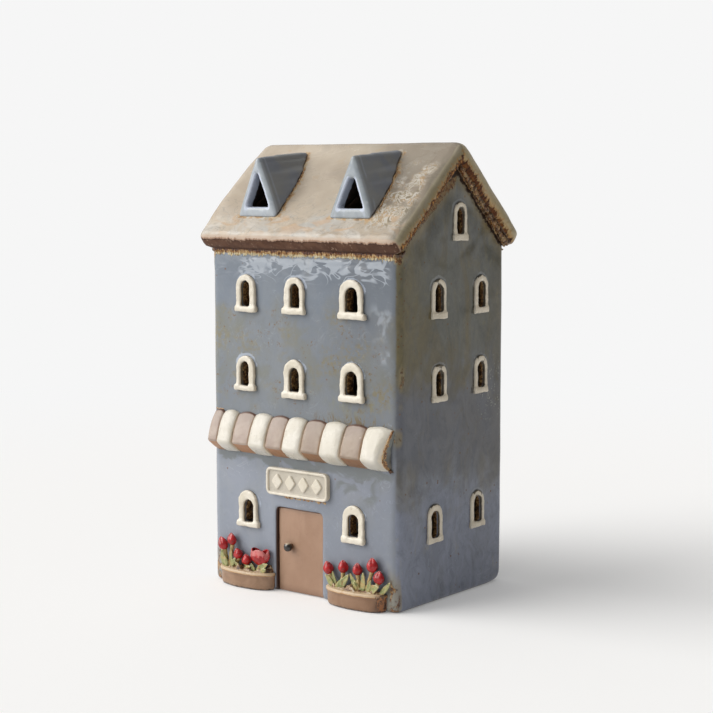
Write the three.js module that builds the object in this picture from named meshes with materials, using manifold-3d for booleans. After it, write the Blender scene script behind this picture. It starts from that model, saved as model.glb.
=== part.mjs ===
// Slab-built stoneware tealight house with a shop front: a hollow four-storey house on a
// clay base slab, gable walls, folded roof with two triangular dormers, arched window
// surrounds, a striped awning, a sunk door between two flower troughs, and the tealight
// that stands on the floor inside and goes in and out through an arch in the back wall.
//
// Millimetres. Origin: centre of the footprint, on the underside of the base slab.
// +X to the viewer's right along the shop front, -Y is the front, +Z is up.

import * as THREE from "three";
import { mergeVertices } from "three/addons/utils/BufferGeometryUtils.js";
import Module from "manifold-3d";

// ---------------------------------------------------------------- driving dimensions
const HALF_W = 53.3; // body, half width along the shop front
const HALF_D = 40.3; // body, half depth
const WALL = 6; // clay slab thickness of the walls
const FLOOR_TOP = 6.5; // top of the base slab, where the tealight stands
const CORNER_R = 4; // vertical outer corners
const BASE_R = 3; // rounded bottom edge of the base slab
const RIDGE = { y: 1.2, z: 201.22 }; // where the slopes meet; the rounded fold tops out at 200
const EAVE_FRONT = { y: -47.6, z: 159.3 }; // outer tip of the front slope
const EAVE_BACK = { y: 45.2, z: 159.95 }; // outer tip of the back slope
const ROOF_T = 8.0; // roof slab, square to its slope
const ROOF_X = { left: -55.4, right: 56.4 }; // roof's ends, with the gable overhang
const RIDGE_R = 3.6; // fold of the roof
const EAVE_R = 2;
const JOINT = 0.3; // clay joint left between slanted neighbours

const DORMERS = {
  // feet and sharp apex of the outer triangle (x, z), on the front face at DORMER_FACE_Y;
  // full: 1 for sides that bulge from the apex down, more for sides that bulge lower
  dormer_left: { x0: -38.9, x1: -15.4, ax: -27.3, az: 195.6, full: 1, blunt: 1.3 },
  dormer_right: { x0: 13.5, x1: 37.3, ax: 27.1, az: 196.1, full: 1.45, blunt: 4.0 },
};
const DORMER_FACE_Y = -38.0;
const DORMER_RISE = 0.07; // the dormers' ridges climb this much per mm towards the back
const DORMER_FOOT_Z = 167.6;
const DORMER_RIM = 2.7; // slab thickness of a dormer's sides
const DORMER_SILL = 4.2; // height of the bar under the dormer's opening
const DORMER_SWELL = 8; // how far a dormer's side bulges outwards, at mid height and 43 mm behind its face

// Windows: [name, hole low, hole high, hole bottom, hole top, frame low, frame high,
// sill low, sill high, frame bottom, frame top]. Along x on the front, along y on the sides.
const FRONT_WINDOWS = [
  ["top_left", -34.2, -28.8, 127.8, 139.5, -37.0, -26.0, -37.4, -25.1, 125.3, 142.1],
  ["top_middle", -5.4, 0.2, 128.4, 139.1, -8.5, 2.4, -9.8, 3.0, 125.6, 142.0],
  ["top_right", 25.6, 32.5, 128.0, 138.9, 22.5, 35.1, 22.1, 36.5, 125.0, 142.0],
  ["middle_left", -34.9, -29.6, 91.9, 103.1, -37.1, -26.6, -38.0, -25.7, 89.7, 105.5],
  ["middle_middle", -6.0, -0.2, 91.2, 102.1, -8.8, 2.2, -9.7, 3.3, 88.3, 105.6],
  ["middle_right", 25.5, 32.5, 92.3, 102.9, 23.1, 35.1, 22.3, 35.8, 89.4, 106.5],
  ["low_left", -33.3, -27.3, 29.6, 40.1, -36.3, -25.5, -37.1, -24.2, 27.6, 44.2],
  ["low_right", 27.1, 33.0, 30.7, 40.9, 24.2, 35.8, 23.8, 36.1, 28.0, 44.6],
];
const SIDE_WINDOWS = [
  ["gable", 1.0, 6.2, 160.7, 172.2, -1.1, 8.6, -2.2, 10.0, 158.0, 174.8],
  ["top_front", -14.9, -9.0, 127.7, 139.6, -17.3, -6.8, -18.2, -5.8, 124.8, 141.9],
  ["top_back", 17.7, 23.1, 127.7, 139.6, 15.0, 25.5, 14.2, 26.1, 125.3, 142.2],
  ["middle_front", -14.0, -8.6, 91.0, 102.2, -16.8, -6.0, -17.6, -5.4, 88.5, 105.1],
  ["middle_back", 17.8, 23.0, 92.0, 103.4, 15.4, 25.2, 14.6, 25.8, 89.4, 106.4],
  ["low_front", -17.0, -11.4, 29.2, 40.9, -19.6, -8.8, -20.4, -8.1, 27.0, 44.0],
  ["low_back", 15.6, 21.4, 31.2, 42.8, 12.9, 23.6, 12.1, 24.4, 28.7, 45.5],
];
const FRAME_PROUD = 1.7; // surrounds stand this far off the wall
const SILL_PROUD = 2.3;
const SILL_H = 2.5;

// Awning: ten clay stripes side by side, alternately brown and cream.
const AWNING_X = [-50.7, -44.5, -36.1, -25.6, -16.2, -5.8, 4.2, 15.4, 26.2, 37.9, 49.6];
const AWNING_PROFILE = [
  // (distance off the wall, z)
  [0, 79.6],
  [1.7, 79.0],
  [3.6, 76.4],
  [5.2, 72.8],
  [6.4, 69.4],
  [6.9, 67.2],
  [6.5, 65.4],
  [4.6, 63.2],
  [2.2, 61.8],
  [0, 61.2],
];

const SIGN = { x0: -18.8, x1: 16.4, z0: 44.4, z1: 56.7, t: 1.6, rim: 1.1, r: 2.4 };
const DOOR = { x0: -15.0, x1: 11.7, z0: 0.4, z1: 38.3, sunk: 1.6, t: 2.2 };
const KNOB = { x: -7.5, z: 21.1, r: 1.85 };
const PLANTERS = {
  planter_left: { x0: -46.6, x1: -15.8 },
  planter_right: { x0: 16.2, x1: 47.5 },
};
const PLANTER = { out: 6.8, z0: 0.2, z1: 8.0, bow: 2.3 }; // bow: fullness of the curved front
// Tulip heads: x, z, radius, height, lean (degrees, positive to the right), foot of the stem.
const TULIPS_LEFT = [
  [-45.2, 18.2, 2.2, 6.0, -28, -42.6],
  [-39.5, 20.9, 2.1, 5.2, -10, -41.0],
  [-35.8, 14.7, 2.3, 4.6, -24, -38.6],
  [-30.7, 12.6, 2.4, 4.6, -18, -29.8],
  [-22.5, 14.8, 4.4, 6.8, 0, -22.6],
];
const TULIPS_RIGHT = [
  [17.2, 15.9, 2.3, 5.4, -20, 20.6],
  [25.6, 17.6, 2.3, 5.2, -4, 25.0],
  [33.5, 17.6, 2.1, 5.0, -4, 34.6],
  [41.6, 20.5, 2.5, 6.0, 0, 38.6],
  [45.3, 15.6, 2.4, 5.4, 6, 41.6],
];
const TULIP_Y = 2.6; // tulip heads stand this far in front of the wall

// Rear arch that the tealight passes through, from the floor up.
const ARCH = { halfW: 30, springZ: 54 };
// Tealight: the common size, 38 mm across and 16 mm tall.
const TEALIGHT = { r: 19, h: 16, skin: 0.5, wax: 13.2, wickR: 0.9, wickTop: 18.4, z: FLOOR_TOP + 0.1 };

// ---------------------------------------------------------------- solids
const wasm = await Module();
wasm.setup();

function solidOf(geometry) {
  const g = geometry.index ? geometry.toNonIndexed() : geometry.clone();
  g.deleteAttribute("normal");
  g.deleteAttribute("uv");
  const merged = mergeVertices(g, 1e-4);
  return new wasm.Manifold(
    new wasm.Mesh({
      numProp: 3,
      vertProperties: merged.attributes.position.array,
      triVerts: new Uint32Array(merged.index.array),
    }),
  );
}

function geometryOf(solid) {
  const mesh = solid.getMesh();
  const g = new THREE.BufferGeometry();
  g.setAttribute("position", new THREE.BufferAttribute(new Float32Array(mesh.vertProperties), 3));
  g.setIndex(new THREE.BufferAttribute(new Uint32Array(mesh.triVerts), 1));
  g.computeVertexNormals();
  return g;
}

// Corner points of a polygon with each corner rounded by its radius.
function rounded(points, radii, segments = 5) {
  const out = [];
  const n = points.length;
  for (let i = 0; i < n; i++) {
    const r = Array.isArray(radii) ? radii[i] : radii;
    const p = new THREE.Vector2(...points[i]);
    if (!r) {
      out.push(p);
      continue;
    }
    const a = new THREE.Vector2(...points[(i + n - 1) % n]).sub(p).normalize();
    const b = new THREE.Vector2(...points[(i + 1) % n]).sub(p).normalize();
    const half = Math.acos(THREE.MathUtils.clamp(a.dot(b), -1, 1)) / 2;
    const reach = r / Math.tan(half);
    const start = p.clone().addScaledVector(a, reach);
    const end = p.clone().addScaledVector(b, reach);
    const centre = p.clone().addScaledVector(a.clone().add(b).normalize(), r / Math.sin(half));
    let t0 = Math.atan2(start.y - centre.y, start.x - centre.x);
    let t1 = Math.atan2(end.y - centre.y, end.x - centre.x);
    while (t1 - t0 > Math.PI) t1 -= 2 * Math.PI;
    while (t1 - t0 < -Math.PI) t1 += 2 * Math.PI;
    for (let k = 0; k <= segments; k++) {
      const t = t0 + ((t1 - t0) * k) / segments;
      out.push(new THREE.Vector2(centre.x + r * Math.cos(t), centre.y + r * Math.sin(t)));
    }
  }
  return out;
}

const vectors = (points) => points.map((p) => (p.isVector2 ? p : new THREE.Vector2(p[0], p[1])));

function extruded(points, depth, holes = []) {
  const shape = new THREE.Shape(vectors(points));
  for (const h of holes) shape.holes.push(new THREE.Path(vectors(h)));
  return new THREE.ExtrudeGeometry(shape, { depth, bevelEnabled: false, steps: 1 });
}

// Outline given in (y, z), running from x0 to x1.
function prismX(points, x0, x1, holes) {
  const m = new THREE.Matrix4().makeBasis(
    new THREE.Vector3(0, 1, 0),
    new THREE.Vector3(0, 0, 1),
    new THREE.Vector3(1, 0, 0),
  );
  m.setPosition(x0, 0, 0);
  return solidOf(extruded(points, x1 - x0, holes).applyMatrix4(m));
}

// Outline given in (x, z), running from y0 to y1.
function prismY(points, y0, y1, holes) {
  const m = new THREE.Matrix4().makeBasis(
    new THREE.Vector3(1, 0, 0),
    new THREE.Vector3(0, 0, 1),
    new THREE.Vector3(0, -1, 0),
  );
  m.setPosition(0, y1, 0);
  return solidOf(extruded(points, y1 - y0, holes).applyMatrix4(m));
}

// Outline given in (x, y), running from z0 to z1.
function prismZ(points, z0, z1, holes) {
  return solidOf(extruded(points, z1 - z0, holes).translate(0, 0, z0));
}

const rect = (a0, a1, b0, b1) => [
  [a0, b0],
  [a1, b0],
  [a1, b1],
  [a0, b1],
];

// Round-headed opening: straight sides up to the spring line, then half an ellipse.
function arch(a0, a1, b0, b1, segments = 8) {
  const c = (a0 + a1) / 2;
  const half = (a1 - a0) / 2;
  const rise = Math.min(half, b1 - b0 - 0.5);
  const points = [
    [a0, b0],
    [a1, b0],
  ];
  for (let k = 0; k <= segments; k++) {
    const t = (Math.PI * k) / segments;
    points.push([c + half * Math.cos(t), b1 - rise + rise * Math.sin(t)]);
  }
  return points;
}

// ---------------------------------------------------------------- finishes
const finish = (color, roughness, metalness = 0) =>
  new THREE.MeshStandardMaterial({ color, roughness, metalness });
const blueGlaze = () => finish(0x8c97a5, 0.3);
const baseGlaze = () => finish(0x7f8a97, 0.35);
const roofGlaze = () => finish(0xbfae98, 0.32);
const creamGlaze = () => finish(0xe6dfcf, 0.35);
const mauveGlaze = () => finish(0xb59a88, 0.35);
const doorGlaze = () => finish(0xa98468, 0.45);
const potGlaze = () => finish(0xa27e63, 0.5);
const redGlaze = () => finish(0xb02a2a, 0.25);
const greenGlaze = () => finish(0x8f9a5a, 0.4);
const blackGlaze = () => finish(0x1c1917, 0.2);

const house = new THREE.Group();
house.name = "tealight_house";
function add(name, solid, material, parent = house) {
  const mesh = new THREE.Mesh(solid.getMesh ? geometryOf(solid) : solid, material);
  mesh.name = name;
  parent.add(mesh);
  return mesh;
}

// ---------------------------------------------------------------- roof lines (y, z)
const unit = (a, b) => {
  const l = Math.hypot(b.y - a.y, b.z - a.z);
  return { y: (b.y - a.y) / l, z: (b.z - a.z) / l };
};
const up = unit(EAVE_FRONT, RIDGE); // up the front slope
const down = unit(RIDGE, EAVE_BACK); // down the back slope
const inFront = { y: up.z, z: -up.y }; // square to the slope, into the house
const inBack = { y: down.z, z: -down.y };
// Height of each slope's surface at y, sunk by a depth square to the slope.
const frontZ = (y, depth) => {
  const p = { y: EAVE_FRONT.y + inFront.y * depth, z: EAVE_FRONT.z + inFront.z * depth };
  return p.z + ((y - p.y) * up.z) / up.y;
};
const backZ = (y, depth) => {
  const p = { y: EAVE_BACK.y + inBack.y * depth, z: EAVE_BACK.z + inBack.z * depth };
  return p.z + ((y - p.y) * down.z) / down.y;
};
const roofZ = (y, depth) => Math.min(frontZ(y, depth), backZ(y, depth));
// Where the two slopes meet at that depth.
const apex = (depth) => {
  const sf = up.z / up.y;
  const sb = down.z / down.y;
  const y = (backZ(0, depth) - frontZ(0, depth)) / (sf - sb);
  return { y, z: frontZ(y, depth) };
};
const innerApex = apex(ROOF_T);

// ---------------------------------------------------------------- base slab
const plan = (hx, hy, r) => rounded(rect(-hx, hx, -hy, hy), r, 5);
const doorNotch = () =>
  prismZ(rect(DOOR.x0, DOOR.x1, -HALF_D - 3, -HALF_D + DOOR.sunk + DOOR.t + JOINT), -1, DOOR.z1 + 0.2);
const roundedFoot = (h, top) => rounded(rect(-h, h, 0, top), [BASE_R, BASE_R, 0, 0], 6);
const baseSlab = prismZ(plan(HALF_W, HALF_D, CORNER_R), 0, FLOOR_TOP)
  .intersect(prismX(roundedFoot(HALF_D, FLOOR_TOP), -HALF_W - 1, HALF_W + 1))
  .intersect(prismY(roundedFoot(HALF_W, FLOOR_TOP), -HALF_D - 1, HALF_D + 1))
  .subtract(doorNotch());
add("base_slab", baseSlab, baseGlaze());

// ---------------------------------------------------------------- walls
// Everything under the roof slab, as a prism along x.
const topFront = apex(ROOF_T + JOINT);
const underRoof = prismX(
  [
    [-HALF_D - 6, FLOOR_TOP],
    [HALF_D + 6, FLOOR_TOP],
    [HALF_D + 6, backZ(HALF_D + 6, ROOF_T + JOINT)],
    [topFront.y, topFront.z],
    [-HALF_D - 6, frontZ(-HALF_D - 6, ROOF_T + JOINT)],
  ],
  -HALF_W - 1,
  HALF_W + 1,
);
const longWall = (side) => {
  // side -1 is the front, 1 the back; the outer corners are rounded
  const y0 = side < 0 ? -HALF_D : HALF_D - WALL;
  const y1 = side < 0 ? -HALF_D + WALL : HALF_D;
  const radii = side < 0 ? [CORNER_R, CORNER_R, 0, 0] : [0, 0, CORNER_R, CORNER_R];
  return prismZ(rounded(rect(-HALF_W, HALF_W, y0, y1), radii, 5), FLOOR_TOP, 175).intersect(underRoof);
};

let frontWall = longWall(-1).subtract(doorNotch());
for (const [, a0, a1, b0, b1] of FRONT_WINDOWS)
  frontWall = frontWall.subtract(prismY(arch(a0, a1, b0, b1), -HALF_D - 2, -HALF_D + WALL + 2));
add("front_wall", frontWall, blueGlaze());

const rearArch = arch(-ARCH.halfW, ARCH.halfW, FLOOR_TOP - 1, ARCH.springZ + ARCH.halfW, 16);
add("back_wall", longWall(1).subtract(prismY(rearArch, HALF_D - WALL - 2, HALF_D + 2)), blueGlaze());

const gableOutline = [
  [-HALF_D + WALL, FLOOR_TOP],
  [HALF_D - WALL, FLOOR_TOP],
  [HALF_D - WALL, backZ(HALF_D - WALL, ROOF_T + JOINT)],
  [topFront.y, topFront.z],
  [-HALF_D + WALL, frontZ(-HALF_D + WALL, ROOF_T + JOINT)],
];
const gableWall = (x0, x1) => {
  let wall = prismX(gableOutline, x0, x1);
  for (const [, a0, a1, b0, b1] of SIDE_WINDOWS)
    wall = wall.subtract(prismX(arch(a0, a1, b0, b1), x0 - 2, x1 + 2));
  return wall;
};
add("left_gable_wall", gableWall(-HALF_W, -HALF_W + WALL), blueGlaze());
add("right_gable_wall", gableWall(HALF_W - WALL, HALF_W), blueGlaze());

// ---------------------------------------------------------------- roof and dormers
const eaveFrontLow = {
  y: EAVE_FRONT.y + inFront.y * ROOF_T,
  z: EAVE_FRONT.z + inFront.z * ROOF_T,
};
const eaveBackLow = { y: EAVE_BACK.y + inBack.y * ROOF_T, z: EAVE_BACK.z + inBack.z * ROOF_T };
const roofOutline = rounded(
  [
    [EAVE_FRONT.y, EAVE_FRONT.z],
    [eaveFrontLow.y, eaveFrontLow.z],
    [innerApex.y, innerApex.z],
    [eaveBackLow.y, eaveBackLow.z],
    [EAVE_BACK.y, EAVE_BACK.z],
    [RIDGE.y, RIDGE.z],
  ],
  [EAVE_R, 1, 0, 1, EAVE_R, RIDGE_R],
  4,
);
let roof = prismX(roofOutline, ROOF_X.left, ROOF_X.right);

// The dormer's opening: an inner triangle, its sides DORMER_RIM inside the outer ones, its top
// cut off where the clay fills the apex.
function innerTriangle(d) {
  const z0 = DORMER_FOOT_Z + DORMER_SILL;
  const side = (xFoot) => {
    // line from foot to apex, moved inwards by DORMER_RIM
    const dx = d.ax - xFoot;
    const dz = d.az - DORMER_FOOT_Z;
    const l = Math.hypot(dx, dz);
    const s = Math.sign(dx);
    return { x: xFoot + (s * DORMER_RIM * dz) / l, z: DORMER_FOOT_Z - (s * DORMER_RIM * dx) / l, dx, dz };
  };
  const a = side(d.x0);
  const b = side(d.x1);
  const ka = a.dx / a.dz;
  const kb = b.dx / b.dz;
  // x = a.x + ka (z - a.z) and x = b.x + kb (z - b.z)
  const za = (b.x - a.x + ka * a.z - kb * b.z) / (ka - kb);
  const zt = za - d.blunt;
  return [
    [a.x + ka * (z0 - a.z), z0],
    [b.x + kb * (z0 - b.z), z0],
    [b.x + kb * (zt - b.z), zt],
    [a.x + ka * (zt - a.z), zt],
  ];
}
// The dormer's outside: a triangle at its face that swells into a pointed arch towards the
// back, and climbs there by DORMER_RISE.
function hoodOf(d) {
  const steps = 6;
  const slope = (xFoot, from, to) =>
    Array.from({ length: steps - 1 }, (_, k) => {
      const t = from + ((to - from) * (k + 1)) / steps;
      return [xFoot + (d.ax - xFoot) * t, DORMER_FOOT_Z + (d.az - DORMER_FOOT_Z) * t];
    });
  const outline = [
    [d.x0, DORMER_FOOT_Z - 2],
    [d.x1, DORMER_FOOT_Z - 2],
    [d.x1, DORMER_FOOT_Z],
    ...slope(d.x1, 0, 1),
    [d.ax, d.az],
    ...slope(d.x0, 1, 0),
    [d.x0, DORMER_FOOT_Z],
  ];
  const radii = outline.map((p) => (p[0] === d.ax && p[1] === d.az ? 1.2 : 0));
  return prismY(rounded(outline, radii, 4), DORMER_FACE_Y, 5).warp((v) => {
    const back = (v[1] - DORMER_FACE_Y) / 43;
    const low = THREE.MathUtils.clamp((d.az - v[2]) / (d.az - DORMER_FOOT_Z), 0, 1);
    const swell = DORMER_SWELL * Math.sin(0.9 * Math.PI * Math.pow(low, d.full)) * back;
    v[0] += Math.sign(v[0] - d.ax) * swell;
    v[2] += DORMER_RISE * (v[1] - DORMER_FACE_Y);
  });
}
const aboveRoof = (gap) =>
  prismX(
    [
      [-70, frontZ(-70, -gap)],
      [20, frontZ(20, -gap)],
      [20, 230],
      [-70, 230],
    ],
    -60,
    60,
  );
for (const [name, d] of Object.entries(DORMERS)) {
  const inner = rounded(innerTriangle(d), [0.7, 0.7, 0.35, 0.35], 2);
  const hood = hoodOf(d)
    .subtract(prismY(inner, DORMER_FACE_Y - 2, 8))
    .intersect(aboveRoof(0.15));
  add(name, hood, blueGlaze());
  roof = roof.subtract(prismY(inner, DORMER_FACE_Y - 2, 4));
}
add("roof", roof, roofGlaze());

// ---------------------------------------------------------------- window surrounds
// In the wall's own plane: a runs along the wall, b is height.
function surround(row, sign = 1) {
  const [, a0, a1, b0, b1, f0, f1, s0, s1, fb, ft] = row;
  const m = (a) => sign * a;
  const order = (p, q) => (p < q ? [p, q] : [q, p]);
  const [h0, h1] = order(m(a0), m(a1));
  const [g0, g1] = order(m(f0), m(f1));
  const [l0, l1] = order(m(s0), m(s1));
  return { hole: arch(h0, h1, b0, b1), frame: arch(g0, g1, fb, ft, 10), sill: rect(l0, l1, fb, fb + SILL_H) };
}
for (const row of FRONT_WINDOWS) {
  const s = surround(row);
  const solid = prismY(s.frame, -HALF_D - FRAME_PROUD, -HALF_D)
    .add(prismY(s.sill, -HALF_D - SILL_PROUD, -HALF_D))
    .subtract(prismY(s.hole, -HALF_D - 4, -HALF_D + 1));
  add(`surround_front_${row[0]}`, solid, creamGlaze());
}
for (const row of SIDE_WINDOWS) {
  const s = surround(row);
  for (const side of [1, -1]) {
    const span = (t) => (side > 0 ? [HALF_W, HALF_W + t] : [-HALF_W - t, -HALF_W]);
    const solid = prismX(s.frame, ...span(FRAME_PROUD))
      .add(prismX(s.sill, ...span(SILL_PROUD)))
      .subtract(prismX(s.hole, ...(side > 0 ? [HALF_W - 1, HALF_W + 4] : [-HALF_W - 4, -HALF_W + 1])));
    add(`surround_${side > 0 ? "right" : "left"}_${row[0]}`, solid, creamGlaze());
  }
}

// ---------------------------------------------------------------- awning
for (let i = 0; i < 10; i++) {
  const cream = i % 2 === 1;
  const proud = cream ? 0.6 : 0;
  const outline = AWNING_PROFILE.map(([out, z]) => [-HALF_D - out - (out ? proud : 0), z]);
  add(
    `awning_stripe_${String(i + 1).padStart(2, "0")}`,
    prismX(outline, AWNING_X[i] + 0.1, AWNING_X[i + 1] - 0.1),
    cream ? creamGlaze() : mauveGlaze(),
  );
}

// ---------------------------------------------------------------- sign, door, knob
const signY = -HALF_D;
let sign = prismY(
  rounded(rect(SIGN.x0, SIGN.x1, SIGN.z0, SIGN.z1), SIGN.r, 4),
  signY - SIGN.t,
  signY,
);
sign = sign.add(
  prismY(rounded(rect(SIGN.x0, SIGN.x1, SIGN.z0, SIGN.z1), SIGN.r, 4), signY - SIGN.t - 0.9, signY - 0.5, [
    rounded(
      rect(SIGN.x0 + SIGN.rim, SIGN.x1 - SIGN.rim, SIGN.z0 + SIGN.rim, SIGN.z1 - SIGN.rim),
      SIGN.r - SIGN.rim,
      4,
    ),
  ]),
);
// a row of four plain lozenge bosses
for (let k = 0; k < 4; k++) {
  const cx = (SIGN.x0 + SIGN.x1) / 2 + (k - 1.5) * 7.6;
  const cz = (SIGN.z0 + SIGN.z1) / 2;
  const lozenge = rounded(
    [
      [cx - 3.0, cz],
      [cx, cz - 3.8],
      [cx + 3.0, cz],
      [cx, cz + 3.8],
    ],
    [0.7, 0.7, 0.7, 0.7],
    2,
  );
  sign = sign.add(prismY(lozenge, signY - SIGN.t - 0.8, signY - 0.5));
}
add("sign_plaque", sign, creamGlaze());

const doorFaceY = -HALF_D + DOOR.sunk;
add(
  "front_door",
  prismY(rect(DOOR.x0 + 0.2, DOOR.x1 - 0.2, DOOR.z0, DOOR.z1), doorFaceY, doorFaceY + DOOR.t),
  doorGlaze(),
);
const knobProfile = [
  [0, 0],
  [1.2, 0],
  [1.3, 0.7],
  [1.9, 1.2],
  [KNOB.r, 2.0],
  [1.7, 2.9],
  [0.9, 3.5],
  [0, 3.7],
];
const knob = new THREE.LatheGeometry(vectors(knobProfile), 14);
knob.rotateX(Math.PI); // its axis points forwards, out of the door
const knobMesh = add("door_knob", solidOf(knob), blackGlaze());
knobMesh.position.set(KNOB.x, doorFaceY - 0.1, KNOB.z);

// ---------------------------------------------------------------- flower troughs
// Plan of a trough: straight against the wall, its front bowed out.
function bowed(x0, x1, back, out, segments = 18) {
  const c = (x0 + x1) / 2;
  const half = (x1 - x0) / 2;
  const points = [];
  for (let k = 0; k <= segments; k++) {
    const u = -Math.cos((Math.PI * k) / segments);
    points.push([c + half * u, back - out * Math.pow(Math.max(0, 1 - Math.abs(u) ** PLANTER.bow), 1 / PLANTER.bow)]);
  }
  return points;
}
function trough(p) {
  const body = (grow) => bowed(p.x0 - grow, p.x1 + grow, -HALF_D, PLANTER.out + grow);
  // trough with a slightly narrower foot, and a thicker lip round the top
  return prismZ(body(-0.4), PLANTER.z0, PLANTER.z0 + 1.4)
    .add(prismZ(body(0), PLANTER.z0 + 1.2, PLANTER.z1))
    .add(prismZ(body(0.5), PLANTER.z1 - 1.5, PLANTER.z1));
}
for (const [name, p] of Object.entries(PLANTERS)) add(name, trough(p), potGlaze());

// ---------------------------------------------------------------- tulips and their leaves
// A bud is an egg on its stem; profile from the base up, its centre at the origin.
function bud(r, h) {
  const profile = [
    [0, -h / 2],
    [r * 0.62, -h * 0.42],
    [r * 0.95, -h * 0.2],
    [r, 0.02 * h],
    [r * 0.82, h * 0.26],
    [r * 0.45, h * 0.43],
    [0, h / 2],
  ];
  return new THREE.LatheGeometry(vectors(profile), 12).rotateX(Math.PI / 2);
}
const flowerY = -HALF_D - TULIP_Y;
function tulips(name, rows) {
  rows.forEach(([x, z, r, h, lean], i) => {
    const mesh = add(`${name}_${i + 1}`, solidOf(bud(r, h)), redGlaze());
    mesh.position.set(x, flowerY, z);
    mesh.rotation.y = THREE.MathUtils.degToRad(lean);
    mesh.scale.y = Math.min(1, 2.2 / r); // flattened against the wall
  });
}
tulips("tulip_left", TULIPS_LEFT);
tulips("tulip_right", TULIPS_RIGHT);

// Stems and leaves of one trough, grown together on a low bed of clay.
function tube(points, radius) {
  const curve = new THREE.CatmullRomCurve3(points.map((p) => new THREE.Vector3(...p)));
  const section = new THREE.Shape();
  for (let k = 0; k < 7; k++) {
    const t = (2 * Math.PI * k) / 7;
    if (k) section.lineTo(radius * Math.cos(t), radius * Math.sin(t));
    else section.moveTo(radius, 0);
  }
  return solidOf(
    new THREE.ExtrudeGeometry(section, { extrudePath: curve, steps: 5, bevelEnabled: false }),
  );
}
function blade(x0, z0, x1, z1, width, y) {
  // a leaf standing flat to the wall, from its foot to its tip
  const dx = x1 - x0;
  const dz = z1 - z0;
  const l = Math.hypot(dx, dz);
  const nx = -dz / l;
  const nz = dx / l;
  const at = (t, s) => [x0 + dx * t + nx * width * s, z0 + dz * t + nz * width * s];
  const outline = [at(0, -0.25), at(0.35, -0.5), at(0.7, -0.38), at(1, 0), at(0.7, 0.38), at(0.35, 0.5), at(0, 0.25)];
  return prismY(outline, y - 0.55, y + 0.55);
}
function foliage(p, rows, leaves) {
  const bedTop = PLANTER.z1 + 1.3;
  const bed = prismZ(bowed(p.x0 + 1.6, p.x1 - 1.6, -HALF_D - 0.2, PLANTER.out - 1.9), PLANTER.z1, bedTop);
  let solid = bed;
  for (const [x, z, , h, lean, foot] of rows) {
    const lr = THREE.MathUtils.degToRad(lean);
    const end = [x - Math.sin(lr) * (h / 2 + 0.5), flowerY, z - Math.cos(lr) * (h / 2 + 0.5)];
    const low = [foot, flowerY, bedTop - 1];
    if (end[2] - low[2] > 0.8)
      solid = solid.add(tube([low, [(foot + end[0]) / 2, flowerY, (low[2] + end[2]) / 2], end], 0.6));
  }
  for (const l of leaves) solid = solid.add(blade(...l, flowerY + 0.2));
  return solid;
}
add(
  "foliage_left",
  foliage(PLANTERS.planter_left, TULIPS_LEFT, [
    [-42.6, 8.6, -43.4, 14.6, 1.8],
    [-39.4, 8.6, -37.4, 11.6, 1.6],
    [-31.4, 8.6, -35.0, 10.6, 1.6],
    [-21.4, 8.6, -17.0, 12.4, 2.2],
  ]),
  greenGlaze(),
);
add(
  "foliage_right",
  foliage(PLANTERS.planter_right, TULIPS_RIGHT, [
    [20.4, 8.6, 17.6, 12.4, 1.9],
    [22.4, 8.6, 29.6, 14.2, 2.4],
    [34.2, 8.6, 31.0, 14.0, 2.2],
    [36.4, 8.6, 37.4, 16.0, 1.8],
    [41.0, 8.6, 46.4, 12.2, 2.4],
    [44.6, 8.6, 49.6, 13.6, 1.6],
  ]),
  greenGlaze(),
);

// ---------------------------------------------------------------- tealight
const tealight = new THREE.Group();
tealight.position.z = TEALIGHT.z;
house.add(tealight);
const T = TEALIGHT;
const lathe = (profile, n = 40) => solidOf(new THREE.LatheGeometry(vectors(profile), n).rotateX(Math.PI / 2));
add(
  "tealight_cup",
  lathe([
    [0, 0],
    [T.r - 0.8, 0],
    [T.r - 0.3, 0.5],
    [T.r - 0.3, T.h - 0.6],
    [T.r, T.h - 0.5],
    [T.r, T.h],
    [T.r - 0.3 - T.skin, T.h],
    [T.r - 0.3 - T.skin, T.skin],
    [0, T.skin],
  ]),
  finish(0xc8cacc, 0.3, 1),
  tealight,
);
const waxR = T.r - 0.3 - T.skin - 0.2;
add(
  "tealight_wax",
  lathe([
    [T.wickR + 0.3, T.skin + 0.1],
    [waxR, T.skin + 0.1],
    [waxR, T.wax],
    [6, T.wax - 0.4],
    [T.wickR + 0.3, T.wax - 0.6],
    [T.wickR + 0.3, T.skin + 0.1],
  ]),
  finish(0xf3efe4, 0.55),
  tealight,
);
add(
  "tealight_wick",
  lathe(
    [
      [0, T.skin + 0.1],
      [T.wickR, T.skin + 0.1],
      [T.wickR, T.wickTop - 0.5],
      [T.wickR - 0.4, T.wickTop],
      [0, T.wickTop],
    ],
    10,
  ),
  finish(0xe9e4d6, 0.9),
  tealight,
);

export default house;
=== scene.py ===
import math

import bmesh
import bpy
import numpy as np
from mathutils import Matrix, Vector
from mathutils.bvhtree import BVHTree


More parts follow.
